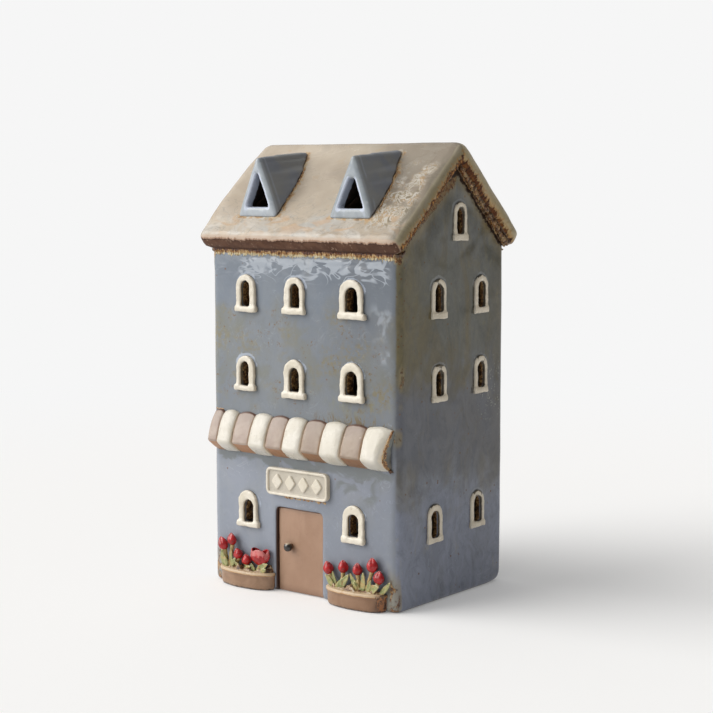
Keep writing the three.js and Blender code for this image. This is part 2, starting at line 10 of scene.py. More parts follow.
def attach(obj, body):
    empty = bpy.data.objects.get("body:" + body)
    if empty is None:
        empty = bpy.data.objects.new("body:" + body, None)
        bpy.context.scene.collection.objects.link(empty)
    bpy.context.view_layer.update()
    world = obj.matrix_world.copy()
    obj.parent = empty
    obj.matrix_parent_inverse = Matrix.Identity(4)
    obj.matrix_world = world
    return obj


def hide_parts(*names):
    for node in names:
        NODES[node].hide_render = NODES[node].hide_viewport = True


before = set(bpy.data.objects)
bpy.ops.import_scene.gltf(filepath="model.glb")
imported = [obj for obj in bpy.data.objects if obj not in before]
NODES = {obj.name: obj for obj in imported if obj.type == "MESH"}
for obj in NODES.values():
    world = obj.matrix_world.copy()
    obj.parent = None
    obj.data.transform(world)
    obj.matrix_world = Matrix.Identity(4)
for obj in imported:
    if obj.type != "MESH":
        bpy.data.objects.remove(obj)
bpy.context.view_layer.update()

# A slab-built stoneware tealight house under glossy glazes. Meshes are made in millimetres, in the
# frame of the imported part, and turned to metres when they become pieces.

HALF_W, HALF_D, WALL, FLOOR_TOP = 53.3, 40.3, 6.0, 6.5
CORNER_R, BASE_R = 4.0, 3.0
RIDGE = (1.2, 201.22)
EAVE_F = (-47.6, 159.3)
EAVE_B = (45.2, 159.95)
ROOF_T = 8.0
ROOF_X = (-55.4, 56.4)
FACE_Y, FOOT_Z, RISE = -38.0, 167.6, 0.07
DORMERS = {
    "dormer_left": (-38.9, -15.4, -27.3, 195.6),
    "dormer_right": (13.5, 37.3, 27.1, 196.1),
}
BLUNT = {-27.3: 1.3, 27.1: 4.0}
FRONT_WINDOWS = [
    ("top_left", -34.2, -28.8, 127.8, 139.5),
    ("top_middle", -5.4, 0.2, 128.4, 139.1),
    ("top_right", 25.6, 32.5, 128.0, 138.9),
    ("middle_left", -34.9, -29.6, 91.9, 103.1),
    ("middle_middle", -6.0, -0.2, 91.2, 102.1),
    ("middle_right", 25.5, 32.5, 92.3, 102.9),
    ("low_left", -33.3, -27.3, 29.6, 40.1),
    ("low_right", 27.1, 33.0, 30.7, 40.9),
]
SIDE_WINDOWS = [
    ("gable", 1.0, 6.2, 160.7, 172.2),
    ("top_front", -14.9, -9.0, 127.7, 139.6),
    ("top_back", 17.7, 23.1, 127.7, 139.6),
    ("middle_front", -14.0, -8.6, 91.0, 102.2),
    ("middle_back", 17.8, 23.0, 92.0, 103.4),
    ("low_front", -17.0, -11.4, 29.2, 40.9),
    ("low_back", 15.6, 21.4, 31.2, 42.8),
]
AWNING_X = [-50.7, -44.5, -36.1, -25.6, -16.2, -5.8, 4.2, 15.4, 26.2, 37.9, 49.6]
SIGN = (-18.8, 16.4, 44.4, 56.7)
DOOR = (-15.0, 11.7, 0.4, 38.3)
DOOR_SUNK = 1.6
PLANTERS = {"left": (-46.6, -15.8), "right": (16.2, 47.5)}
PLANTER_TOP = 8.0
PLANTER_OUT = 6.8
FLOWER_Y = -HALF_D - 2.6
TULIPS = {
    "left": [
        (-45.2, 18.2, 2.2, 6.0, -28, -42.6),
        (-39.5, 20.9, 2.1, 5.2, -10, -41.0),
        (-35.8, 14.7, 2.3, 4.6, -24, -38.6),
        (-30.7, 12.6, 2.4, 4.6, -18, -29.8),
        (-22.5, 14.8, 4.4, 6.8, 0, -22.6),
    ],
    "right": [
        (17.2, 15.9, 2.3, 5.4, -20, 20.6),
        (25.6, 17.6, 2.3, 5.2, -4, 25.0),
        (33.5, 17.6, 2.1, 5.0, -4, 34.6),
        (41.6, 20.5, 2.5, 6.0, 0, 38.6),
        (45.3, 15.6, 2.4, 5.4, 6, 41.6),
    ],
}


def unit(a, b):
    d = math.hypot(b[0] - a[0], b[1] - a[1])
    return ((b[0] - a[0]) / d, (b[1] - a[1]) / d)


UP = unit(EAVE_F, RIDGE)
DOWN = unit(RIDGE, EAVE_B)
IN_F = (UP[1], -UP[0])
IN_B = (DOWN[1], -DOWN[0])


def front_z(y, depth=0.0):
    return EAVE_F[1] + IN_F[1] * depth + (y - EAVE_F[0] - IN_F[0] * depth) * UP[1] / UP[0]


def back_z(y, depth=0.0):
    return EAVE_B[1] + IN_B[1] * depth + (y - EAVE_B[0] - IN_B[0] * depth) * DOWN[1] / DOWN[0]


# ------------------------------------------------------------------ noise on vertices
_rng = np.random.RandomState(11)
_perm = _rng.permutation(256)
_grad = _rng.normal(size=(256, 3))
_grad /= np.linalg.norm(_grad, axis=1)[:, None]


def perlin(p, scale=1.0, seed=0):
    """Gradient noise, about -0.7 to 0.7; scale is the size of a bump in millimetres."""
    p = np.asarray(p, float) / scale + seed * 31.7 + 100.0
    i = np.floor(p).astype(np.int64)
    f = p - i
    u = f * f * f * (f * (f * 6 - 15) + 10)
    out = 0.0
    for dx in (0, 1):
        for dy in (0, 1):
            for dz in (0, 1):
                h = _perm[(_perm[(_perm[(i[:, 0] + dx) & 255] + i[:, 1] + dy) & 255] + i[:, 2] + dz) & 255]
                v = (_grad[h] * (f - np.array([dx, dy, dz]))).sum(1)
                w = (u[:, 0] if dx else 1 - u[:, 0]) * (u[:, 1] if dy else 1 - u[:, 1]) * (u[:, 2] if dz else 1 - u[:, 2])
                out = out + v * w
    return out


def fbm(p, scale, octaves=3, seed=0):
    s, a, out = scale, 1.0, 0.0
    for k in range(octaves):
        out = out + a * perlin(p, s, seed + k)
        s, a = s / 2, a / 2
    return out


def smoothstep(a, b, x):
    t = np.clip((x - a) / (b - a), 0, 1)
    return t * t * (3 - 2 * t)


# ------------------------------------------------------------------ mesh helpers
def new_mesh(name, verts, faces):
    me = bpy.data.meshes.new(name)
    me.from_pydata([tuple(float(c) for c in v) for v in verts], [], [tuple(int(i) for i in f) for f in faces])
    me.validate()
    me.update()
    return me


def temp(me, name="tmp"):
    ob = bpy.data.objects.new(name, me)
    bpy.context.scene.collection.objects.link(ob)
    return ob


def drop(ob):
    me = ob.data
    bpy.data.objects.remove(ob)
    if me.users == 0:
        bpy.data.meshes.remove(me)


def apply(me, *mods, keep=False):
    """The mesh with these modifiers applied; each is (type, {settings})."""
    ob = temp(me)
    for kind, props in mods:
        m = ob.modifiers.new(kind, kind)
        for k, v in props.items():
            setattr(m, k, v)
    dg = bpy.context.evaluated_depsgraph_get()
    out = bpy.data.meshes.new_from_object(ob.evaluated_get(dg), depsgraph=dg)
    bpy.data.objects.remove(ob)
    if me.users == 0 and not keep:
        bpy.data.meshes.remove(me)
    return out


def co(me):
    a = np.empty(len(me.vertices) * 3, np.float32)
    me.vertices.foreach_get("co", a)
    return a.reshape(-1, 3).astype(float)


def set_co(me, p):
    me.vertices.foreach_set("co", np.asarray(p, np.float32).ravel())
    me.update()


def normals(me):
    a = np.empty(len(me.vertices) * 3, np.float32)
    me.vertex_normals.foreach_get("vector", a)
    return a.reshape(-1, 3).astype(float)


def put(me, name, values):
    a = me.attributes.get(name) or me.attributes.new(name, "FLOAT", "POINT")
    a.data.foreach_set("value", np.asarray(values, np.float32).ravel())


def remesh(me, voxel, smooth=4, factor=0.5):
    return apply(
        me,
        ("REMESH", {"mode": "VOXEL", "voxel_size": voxel, "use_smooth_shade": True}),
        ("SMOOTH", {"factor": factor, "iterations": smooth}),
    )


def cavity(me, iterations=12, scale=1.0):
    """Positive in hollows, negative on edges, in millimetres of smoothing."""
    sm = apply(me.copy(), ("SMOOTH", {"factor": 0.5, "iterations": iterations}))
    c = ((co(sm) - co(me)) * normals(me)).sum(1) * scale
    bpy.data.meshes.remove(sm)
    put(me, "cav", c)
    return c


def relax(me, weight, rounds):
    """Round a mesh off where weight is 1."""
    e = np.empty(len(me.edges) * 2, np.int64)
    me.edges.foreach_get("vertices", e)
    a, b = e[0::2], e[1::2]
    p = co(me)
    deg = np.maximum(1, np.bincount(e, minlength=len(p)))[:, None]
    w = 0.5 * weight[:, None]
    for _ in range(rounds):
        s = np.stack([np.bincount(a, p[b, k], len(p)) + np.bincount(b, p[a, k], len(p)) for k in range(3)], 1)
        p = p + w * (s / deg - p)
    set_co(me, p)


def thin_out(me, where, ratio):
    """Fewer triangles, taken only from where the mask is true."""
    ob = temp(me)
    g = ob.vertex_groups.new(name="thin")
    g.add([int(i) for i in np.nonzero(where)[0]], 1.0, "REPLACE")
    m = ob.modifiers.new("thin", "DECIMATE")
    m.ratio = ratio
    m.vertex_group = "thin"
    m.vertex_group_factor = 10.0
    dg = bpy.context.evaluated_depsgraph_get()
    out = bpy.data.meshes.new_from_object(ob.evaluated_get(dg), depsgraph=dg)
    drop(ob)
    return out


def node_mesh(*names):
    """A copy of CAD nodes' meshes, in millimetres."""
    bm = bmesh.new()
    for n in names:
        me = NODES[n].data.copy()
        me.transform(Matrix.Scale(1000.0, 4))
        bm.from_mesh(me)
        bpy.data.meshes.remove(me)
    bmesh.ops.remove_doubles(bm, verts=bm.verts, dist=1e-3)
    me = bpy.data.meshes.new("copy")
    bm.to_mesh(me)
    bm.free()
    return me


def join(*meshes):
    bm = bmesh.new()
    for me in meshes:
        bm.from_mesh(me)
        bpy.data.meshes.remove(me)
    me = bpy.data.meshes.new("joined")
    bm.to_mesh(me)
    bm.free()
    return me


def cut(me, cutter, operation="DIFFERENCE"):
    c = temp(cutter)
    out = apply(me, ("BOOLEAN", {"operation": operation, "object": c, "solver": "EXACT"}))
    drop(c)
    return out


def loft(rings, caps=True, closed=True):
    """Skin through rings of equally many points."""
    n = len(rings[0])
    verts = [p for r in rings for p in r]
    faces = []
    for k in range(len(rings) - 1):
        for i in range(n if closed else n - 1):
            j = (i + 1) % n
            faces.append((k * n + i, k * n + j, (k + 1) * n + j, (k + 1) * n + i))
    if caps:
        faces.append(tuple(range(n))[::-1])
        faces.append(tuple((len(rings) - 1) * n + i for i in range(n)))
    me = new_mesh("loft", verts, faces)
    bm = bmesh.new()
    bm.from_mesh(me)
    bmesh.ops.recalc_face_normals(bm, faces=bm.faces)
    bm.to_mesh(me)
    bm.free()
    return me


def arch2(a0, a1, b0, b1, n=14):
    c, h = (a0 + a1) / 2, (a1 - a0) / 2
    rise = min(h, b1 - b0 - 0.5)
    pts = [(a0, b0), (a1, b0)]
    for k in range(n + 1):
        t = math.pi * k / n
        pts.append((c + h * math.cos(t), b1 - rise + rise * math.sin(t)))
    return pts


def prism(pts, axis, lo, hi):
    """Outline extruded along x (outline in y, z) or y (outline in x, z)."""
    if axis == "x":
        f = lambda p, t: (t, p[0], p[1])
    elif axis == "y":
        f = lambda p, t: (p[0], t, p[1])
    else:
        f = lambda p, t: (p[0], p[1], t)
    return loft([[f(p, lo) for p in pts], [f(p, hi) for p in pts]])


def rounded(points, radii, seg=5):
    out, n = [], len(points)
    for i in range(n):
        r = radii[i] if isinstance(radii, (list, tuple)) else radii
        p = Vector(points[i])
        a = (Vector(points[i - 1]) - p).normalized()
        b = (Vector(points[(i + 1) % n]) - p).normalized()
        half = math.acos(max(-1, min(1, a.dot(b)))) / 2
        reach = r / math.tan(half)
        s, e = p + a * reach, p + b * reach
        c = p + (a + b).normalized() * (r / math.sin(half))
        t0 = math.atan2(s.y - c.y, s.x - c.x)
        t1 = math.atan2(e.y - c.y, e.x - c.x)
        while t1 - t0 > math.pi:
            t1 -= 2 * math.pi
        while t1 - t0 < -math.pi:
            t1 += 2 * math.pi
        for k in range(seg + 1):
            t = t0 + (t1 - t0) * k / seg
            out.append((c.x + r * math.cos(t), c.y + r * math.sin(t)))
    return out


def piece(name, me, material, nodes=(), body="house", sharp=None):
    me.transform(Matrix.Scale(0.001, 4))
    me.name = name
    me.materials.clear()
    me.materials.append(material)
    me.shade_smooth()
    if sharp:
        me.set_sharp_from_angle(angle=math.radians(sharp))
    ob = bpy.data.objects.new(name, me)
    bpy.context.scene.collection.objects.link(ob)
    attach(ob, body)
    if nodes:
        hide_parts(*nodes)
    return ob


def bvh(me):
    bm = bmesh.new()
    bm.from_mesh(me)
    t = BVHTree.FromBMesh(bm)
    bm.free()
    return t


def distance(tree, p, limit, where=None):
    """Distance to a tree of each point, at most limit."""
    d = np.full(len(p), float(limit))
    idx = range(len(p)) if where is None else np.nonzero(where)[0]
    for i in idx:
        hit = tree.find_nearest(Vector(p[i]), limit)
        if hit[0] is not None:
            d[i] = hit[3]
    return d


# ------------------------------------------------------------------ node materials
def lin(c):
    return tuple((v / 12.92 if v <= 0.04045 else ((v + 0.055) / 1.055) ** 2.4) for v in (x / 255 for x in c))


LIT = 1.30  # light that falls on the front, against white


def rgb(r, g, b, k=LIT):
    """The clay's own colour, from its look under light of strength k."""
    return tuple(min(0.95, v / k) for v in lin((r, g, b))) + (1.0,)


class Mat:
    def __init__(self, name, roughness=0.35, coat=0.0, coat_rough=0.08, specular=0.5, metallic=0.0):
        self.m = bpy.data.materials.new(name)
        self.m.use_nodes = True
        self.t = self.m.node_tree
        self.t.nodes.clear()
        self.out = self.t.nodes.new("ShaderNodeOutputMaterial")
        self.b = self.t.nodes.new("ShaderNodeBsdfPrincipled")
        self.t.links.new(self.b.outputs[0], self.out.inputs[0])
        self.b.inputs["Roughness"].default_value = roughness
        self.b.inputs["Metallic"].default_value = metallic
        self.b.inputs["Specular IOR Level"].default_value = specular
        self.b.inputs["Coat Weight"].default_value = coat
        self.b.inputs["Coat Roughness"].default_value = coat_rough
        tc = self.t.nodes.new("ShaderNodeTexCoord")
        self.P = self.v("SCALE", tc.outputs["Object"], scale=1000.0)
        s = self.t.nodes.new("ShaderNodeSeparateXYZ")
        self.t.links.new(self.P, s.inputs[0])
        self.x, self.y, self.z = s.outputs
        g = self.t.nodes.new("ShaderNodeNewGeometry")
        s = self.t.nodes.new("ShaderNodeSeparateXYZ")
        self.t.links.new(g.outputs["Normal"], s.inputs[0])
        self.nx, self.ny, self.nz = s.outputs

    def put(self, sock, a):
        if isinstance(a, bpy.types.NodeSocket):
            self.t.links.new(a, sock)
        elif sock.type == "RGBA" and not hasattr(a, "__len__"):
            sock.default_value = (a, a, a, 1)
        else:
            sock.default_value = a

    def v(self, op, a, b=None, scale=None):
        n = self.t.nodes.new("ShaderNodeVectorMath")
        n.operation = op
        self.put(n.inputs[0], a)
        if b is not None:
            self.put(n.inputs[1], b)
        if scale is not None:
            self.put(n.inputs["Scale"], scale)
        return n.outputs[0]

    def math(self, op, a, b=None, clamp=False):
        n = self.t.nodes.new("ShaderNodeMath")
        n.operation = op
        n.use_clamp = clamp
        self.put(n.inputs[0], a)
        if b is not None:
            self.put(n.inputs[1], b)
        return n.outputs[0]

    def add(self, a, b):
        return self.math("ADD", a, b)

    def sub(self, a, b):
        return self.math("SUBTRACT", a, b)

    def mul(self, *a):
        out = a[0]
        for b in a[1:]:
            out = self.math("MULTIPLY", out, b)
        return out

    def attr(self, name):
        n = self.t.nodes.new("ShaderNodeAttribute")
        n.attribute_name = name
        return n.outputs["Fac"]

    def noise(self, size, detail=3.0, rough=0.5, distort=0.0, stretch=None, shift=0.0):
        """Noise with features of this size in millimetres; stretch is (x, y, z)."""
        p = self.P
        if stretch:
            p = self.v("MULTIPLY", p, tuple(1.0 / s for s in stretch))
        if shift:
            p = self.v("ADD", p, (shift, shift * 0.7, -shift))
        n = self.t.nodes.new("ShaderNodeTexNoise")
        self.put(n.inputs["Vector"], p)
        n.inputs["Scale"].default_value = 1.0 / size
        n.inputs["Detail"].default_value = detail
        n.inputs["Roughness"].default_value = rough
        n.inputs["Distortion"].default_value = distort
        return n.outputs[0]

    def vec(self, x, y, z=0.0):
        n = self.t.nodes.new("ShaderNodeCombineXYZ")
        self.put(n.inputs[0], x)
        self.put(n.inputs[1], y)
        self.put(n.inputs[2], z)
        return n.outputs[0]

    def line(self, a, b, c):
        """a*y + b*z + c"""
        return self.add(self.add(self.mul(self.y, a), self.mul(self.z, b)), c)

    def noise_at(self, vec, size, detail=3.0, rough=0.5, distort=0.0, shift=0.0):
        """The same noise on other coordinates."""
        if shift:
            vec = self.v("ADD", vec, (shift, shift * 0.7, -shift))
        n = self.t.nodes.new("ShaderNodeTexNoise")
        self.put(n.inputs["Vector"], vec)
        n.inputs["Scale"].default_value = 1.0 / size
        n.inputs["Detail"].default_value = detail
        n.inputs["Roughness"].default_value = rough
        n.inputs["Distortion"].default_value = distort
        return n.outputs[0]

    def slopes(self):
        """Depth below each slope of the roof and distance up it from its eave, in millimetres."""
        fy, fz, by, bz = EAVE_F[0], EAVE_F[1], EAVE_B[0], EAVE_B[1]
        df = self.line(IN_F[0], IN_F[1], -fy * IN_F[0] - fz * IN_F[1])
        db = self.line(IN_B[0], IN_B[1], -by * IN_B[0] - bz * IN_B[1])
        uf = self.line(UP[0], UP[1], -fy * UP[0] - fz * UP[1])
        ub = self.line(-DOWN[0], -DOWN[1], by * DOWN[0] + bz * DOWN[1])
        back = self.step(self.sub(df, db), -0.3, 0.3)
        deep = self.math("MINIMUM", df, db)
        along = self.add(self.mul(uf, self.sub(1.0, back)), self.mul(self.add(ub, 90.0), back))
        return deep, along, uf, ub, back

    def cells(self, size, stretch=None, shift=0.0):
        p = self.P
        if stretch:
            p = self.v("MULTIPLY", p, tuple(1.0 / s for s in stretch))
        if shift:
            p = self.v("ADD", p, (shift, shift, shift))
        n = self.t.nodes.new("ShaderNodeTexVoronoi")
        self.put(n.inputs["Vector"], p)
        n.inputs["Scale"].default_value = 1.0 / size
        return n.outputs["Distance"]

    def step(self, x, lo, hi, a=0.0, b=1.0):
        n = self.t.nodes.new("ShaderNodeMapRange")
        n.interpolation_type = "SMOOTHSTEP"
        self.put(n.inputs["Value"], x)
        n.inputs["From Min"].default_value = lo
        n.inputs["From Max"].default_value = hi
        n.inputs["To Min"].default_value = a
        n.inputs["To Max"].default_value = b
        return n.outputs[0]

    def band(self, x, lo, hi, soft):
        """1 between lo and hi, soft at both ends."""
        return self.mul(self.step(x, lo - soft, lo + soft), self.step(x, hi - soft, hi + soft, 1.0, 0.0))

    def mix(self, fac, a, b, mode="MIX"):
        n = self.t.nodes.new("ShaderNodeMix")
        n.data_type = "RGBA"
        n.blend_type = mode
        n.clamp_factor = True
        self.put(n.inputs[0], fac)
        self.put(n.inputs[6], a)
        self.put(n.inputs[7], b)
        return n.outputs[2]

    def ramp(self, fac, *stops):
        n = self.t.nodes.new("ShaderNodeValToRGB")
        e = n.color_ramp.elements
        while len(e) > 1:
            e.remove(e[-1])
        e[0].position, e[0].color = stops[0]
        for pos, col in stops[1:]:
            k = e.new(pos)
            k.color = col
        self.put(n.inputs[0], fac)
        return n.outputs[0]

    def bump(self, height, distance, strength=1.0, normal=None):
        """height in 0..1, distance in millimetres."""
        n = self.t.nodes.new("ShaderNodeBump")
        n.inputs["Strength"].default_value = strength
        n.inputs["Distance"].default_value = distance * 0.001
        self.put(n.inputs["Height"], height)
        if normal is not None:
            self.put(n.inputs["Normal"], normal)
        return n.outputs[0]

    def done(self, color, roughness=None, normal=None, coat_normal=True):
        self.put(self.b.inputs["Base Color"], color)
        if roughness is not None:
            self.put(self.b.inputs["Roughness"], roughness)
        if normal is not None:
            self.put(self.b.inputs["Normal"], normal)
            if self.b.inputs["Coat Weight"].default_value > 0 and coat_normal:
                self.put(self.b.inputs["Coat Normal"], normal)
        return self.m


BROWN = rgb(74, 44, 24)
DARK_BROWN = rgb(48, 30, 18)
OCHRE = rgb(158, 118, 66)
TAN = rgb(196, 166, 118)
TERRACOTTA = rgb(126, 84, 62)
CLAY = rgb(112, 78, 58)


def crust(m, size=1.6, shift=0.0, at=None, light=0.0):
    """Colours of burnt, runny glaze where two slabs meet; light moves it towards ochre and cream."""
    n = m.noise(size, 4.0, 0.65, 0.8, shift=shift) if at is None else m.noise_at(at, size, 4.0, 0.65, 0.8, shift)
    n = m.add(n, light)
    return m.ramp(
        n, (0.33, rgb(64, 36, 18)), (0.41, rgb(112, 62, 26)), (0.47, rgb(156, 100, 48)), (0.53, rgb(188, 142, 84)), (0.60, rgb(212, 184, 140)), (0.68, rgb(150, 134, 104)), (0.76, rgb(96, 60, 32))
    )


KF, KS = 1.12, 0.52  # light on the front and on the right side, against white


def fringe(m, tooth):
    """Crust below the eave: dark red-brown on top, ochre strokes, cream tips."""
    strokes = m.noise_at(m.vec(m.x, m.mul(m.y, 0.3), m.mul(m.z, 0.22)), 0.8, 3.0, 0.6, 0.2, 27)
    patches = m.noise(5.0, 3.0, 0.6, 0.5, stretch=(1, 1, 3), shift=14)
    mid = m.ramp(strokes, (0.34, rgb(92, 54, 26)), (0.43, rgb(150, 98, 46)), (0.51, rgb(196, 150, 88)), (0.60, rgb(222, 196, 146)), (0.68, rgb(168, 122, 70)))
    tips = m.ramp(strokes, (0.36, rgb(160, 120, 66)), (0.48, rgb(214, 194, 146)), (0.60, rgb(230, 222, 192)), (0.70, rgb(176, 168, 140)))
    col = m.mix(m.step(m.add(m.z, m.mul(tooth, 3.0)), 151.9, 151.2), mid, tips)
    dark = m.mix(m.step(strokes, 0.42, 0.62), rgb(76, 38, 20), rgb(124, 70, 36))
    return m.mix(m.step(m.add(m.add(m.z, m.mul(tooth, 4.0)), m.mul(m.sub(patches, 0.5), 4.0)), 152.3, 152.9), col, dark)


def make_blue():
    m = Mat("blue_glaze", roughness=0.2, specular=0.34)
    F = lambda *c: rgb(*c, k=KF)
    S = lambda *c: rgb(*c, k=KS)
    big = m.noise(34, 4.0, 0.55, 0.4)
    mid = m.noise(11, 4.0, 0.6, 0.8, stretch=(1, 1, 1.6))
    fine = m.noise(2.4, 4.0, 0.6, 0.3)
    wob = m.mul(m.sub(m.noise(18, 3, 0.5, 0.6, shift=2), 0.5), 40)
    zz = m.add(m.z, wob)
    # front: grey-blue, bluer at the foot, greyer and warmer in a belt above the awning
    col = m.mix(m.step(zz, 50, 84), F(156, 162, 174), F(150, 155, 160))
    col = m.mix(m.step(zz, 118, 136), col, F(146, 154, 164))
    col = m.mix(m.mul(m.step(big, 0.40, 0.62), 0.4), col, F(140, 148, 160))
    col = m.mix(m.mul(m.step(mid, 0.45, 0.68), 0.35), col, F(160, 164, 168))
    belt = m.band(zz, 84, 126, 9)
    col = m.mix(m.mul(belt, m.step(m.noise(17, 4, 0.6, 0.6, shift=40), 0.42, 0.64), 0.7), col, F(148, 148, 138))
    col = m.mix(m.mul(belt, m.step(m.noise(14, 3, 0.55, 0.3, shift=11), 0.44, 0.66), m.step(m.noise(2.6, 4, 0.65, 0.3, shift=113), 0.42, 0.62), 0.75), col, F(160, 148, 114))
    freckle = m.noise(1.5, 4, 0.7, 0.2, shift=18)
    col = m.mix(m.mul(belt, m.step(m.noise(10, 3, 0.55, 0.3, shift=111), 0.50, 0.62), m.step(freckle, 0.56, 0.66), 0.75), col, F(146, 114, 72))
    # painted shade: the front darker towards the right, where the light falls off, and a little darker again between
    # the middle and top windows on the right
    col = m.mix(m.mul(m.step(m.x, -40, 52), 0.85), col, m.mix(1.0, col, (0.74, 0.735, 0.735, 1), "MULTIPLY"))
    col = m.mix(m.mul(m.step(m.x, 10, 45), m.step(m.z, 104, 124), 0.8), col, m.mix(1.0, col, (0.88, 0.87, 0.86, 1), "MULTIPLY"))
    # gable side: olive-grey with blue-grey and brown clouds, bluer at the foot
    side = m.step(m.math("ABSOLUTE", m.nx), 0.44, 0.68)
    sc = m.mix(m.step(m.noise(24, 4, 0.6, 0.8, stretch=(1, 1, 1.8), shift=71), 0.40, 0.60), S(92, 94, 96), S(94, 88, 72))
    sc = m.mix(m.mul(m.step(m.y, -18, -34), m.band(zz, 96, 156, 12), 0.75), sc, S(102, 95, 72))
    sc = m.mix(m.mul(m.step(zz, 104, 88), m.step(zz, 52, 66), 0.7), sc, S(90, 92, 98))
    sc = m.mix(m.mul(m.step(m.y, 22, 36), m.band(zz, 40, 150, 14), 0.6), sc, S(88, 84, 76))
    sc = m.mix(m.mul(m.step(zz, 66, 36), 0.9), sc, S(96, 99, 107))
    sc = m.mix(m.mul(m.step(m.noise(9, 4, 0.6, 0.8, stretch=(1, 1, 2.6), shift=5), 0.52, 0.70), 0.5), sc, S(84, 86, 90))
    sc = m.mix(m.mul(m.step(m.noise(5, 4, 0.65, 0.6, stretch=(1, 1, 3.2), shift=15), 0.58, 0.72), 0.35), sc, S(112, 106, 90))
    # tone by height: the front's foot lighter, partly painted light and partly the glaze's own tone; the side's foot
    # much lighter as painted light, the side olive higher up
    tone_light_f = m.mix(m.step(zz, 52, 84), (0.90, 0.90, 0.90, 1), (0.745, 0.755, 0.765, 1))
    zz = m.add(zz, m.mul(m.sub(m.noise(12, 4, 0.6, 0.6, shift=131), 0.5), 36))
    tone_light_s = m.mix(m.step(zz, 40, 66), (0.92, 0.95, 1.02, 1), (0.575, 0.58, 0.60, 1))
    tone_light_s = m.mix(m.step(zz, 90, 112), tone_light_s, (0.51, 0.49, 0.385, 1))
    tone_light_s = m.mix(m.step(zz, 148, 160), tone_light_s, (0.62, 0.60, 0.52, 1))
    col = m.mix(side, m.mix(1.0, col, tone_light_f, "MULTIPLY"), m.mix(1.0, sc, tone_light_s, "MULTIPLY"))
    # brown and ochre clouds, thin dark runs and rusty specks on the gable side
    cloud = m.noise(13, 5.0, 0.6, 0.9, stretch=(1, 1, 1.5), shift=83)
    col = m.mix(m.mul(side, m.step(cloud, 0.53, 0.66), m.step(zz, 60, 80), 0.5), col, S(66, 61, 47))
    grain = m.noise(2.6, 5.0, 0.7, 0.6, stretch=(1, 1, 1.7), shift=101)
    col = m.mix(m.mul(side, m.step(grain, 0.54, 0.66), m.step(zz, 86, 104), 0.45), col, m.mix(1.0, col, (1.45, 1.30, 0.95, 1), "MULTIPLY"))
    col = m.mix(m.mul(side, m.step(grain, 0.46, 0.36), 0.35), col, m.mix(1.0, col, (0.66, 0.68, 0.72, 1), "MULTIPLY"))
    smear = m.noise(13, 4, 0.6, 2.0, stretch=(1, 1, 1.4), shift=141)
    col = m.mix(m.mul(side, m.step(smear, 0.50, 0.60), 0.30), col, m.mix(1.0, col, (1.32, 1.32, 1.34, 1), "MULTIPLY"))
    col = m.mix(m.mul(side, m.step(smear, 0.47, 0.38), 0.40), col, m.mix(1.0, col, (0.70, 0.71, 0.74, 1), "MULTIPLY"))
    # rusty dots down both edges of the gable side, and painted glints in a pale sprinkle beside the lower back windows
    dots2 = m.cells(2.2, shift=91)
    edges = m.math("MAXIMUM", m.mul(m.step(m.y, 33, 38), m.band(m.z, 84, 140, 8)), m.mul(m.step(m.y, -30, -36), m.band(m.z, 100, 150, 6)))
    col = m.mix(m.mul(side, edges, m.step(dots2, 0.26, 0.12), m.step(m.noise(5, 3, 0.5, shift=36), 0.46, 0.56), 0.85), col, rgb(84, 54, 24, k=0.8))
    glint_cells = m.cells(1.3, shift=55)
    col = m.mix(m.mul(side, m.band(m.y, 20, 36, 4), m.band(m.z, 78, 104, 6), m.step(glint_cells, 0.42, 0.12), m.step(m.noise(4, 3, 0.5, shift=66), 0.44, 0.60), 0.6), col, S(132, 132, 122))
    rust = m.cells(4.0, shift=71)
    col = m.mix(m.mul(side, m.step(rust, 0.16, 0.08), m.step(m.noise(11, 3, 0.5, shift=45), 0.50, 0.60), 0.8), col, rgb(92, 62, 30, k=0.9))
    # fine mottling, specks and pits
    col = m.mix(m.mul(m.step(fine, 0.56, 0.74), 0.18), col, m.mix(1.0, col, (1.35, 1.35, 1.33, 1), "MULTIPLY"))
    col = m.mix(m.mul(m.step(fine, 0.44, 0.26), 0.18), col, m.mix(1.0, col, (0.7, 0.7, 0.68, 1), "MULTIPLY"))
    spot = m.cells(5.5, shift=3)
    pit = m.mul(m.step(spot, 0.11, 0.05), m.step(m.noise(14, 2, 0.5, shift=9), 0.50, 0.60))
    col = m.mix(m.mul(pit, 0.75), col, F(122, 84, 52))
    dots = m.cells(2.6, shift=33)
    pale = m.mul(m.step(dots, 0.13, 0.05), m.step(m.noise(9, 3, 0.5, shift=19), 0.54, 0.64))
    col = m.mix(m.mul(pale, 0.5), col, m.mix(1.0, col, (1.6, 1.6, 1.6, 1), "MULTIPLY"))
    # thin pale veins
    vein = m.noise(13, 3.0, 0.5, 2.2, shift=23)
    col = m.mix(m.mul(m.band(vein, 0.492, 0.508, 0.006), m.step(m.noise(20, 2, 0.5, shift=63), 0.5, 0.6), 0.35), col, m.mix(1.0, col, (1.45, 1.45, 1.42, 1), "MULTIPLY"))
    # glaze gathers pale and blue over the window arches
    halo = m.attr("halo")
    col = m.mix(m.mul(m.step(m.add(halo, m.mul(m.sub(m.noise(3.4, 3, 0.6, 0.6, shift=12), 0.5), 1.6)), 0.3, 0.8), m.mix(side, (0.8, 0.8, 0.8, 1), (0.45, 0.45, 0.45, 1))), col, m.mix(side, F(182, 192, 208), S(112, 114, 116)))
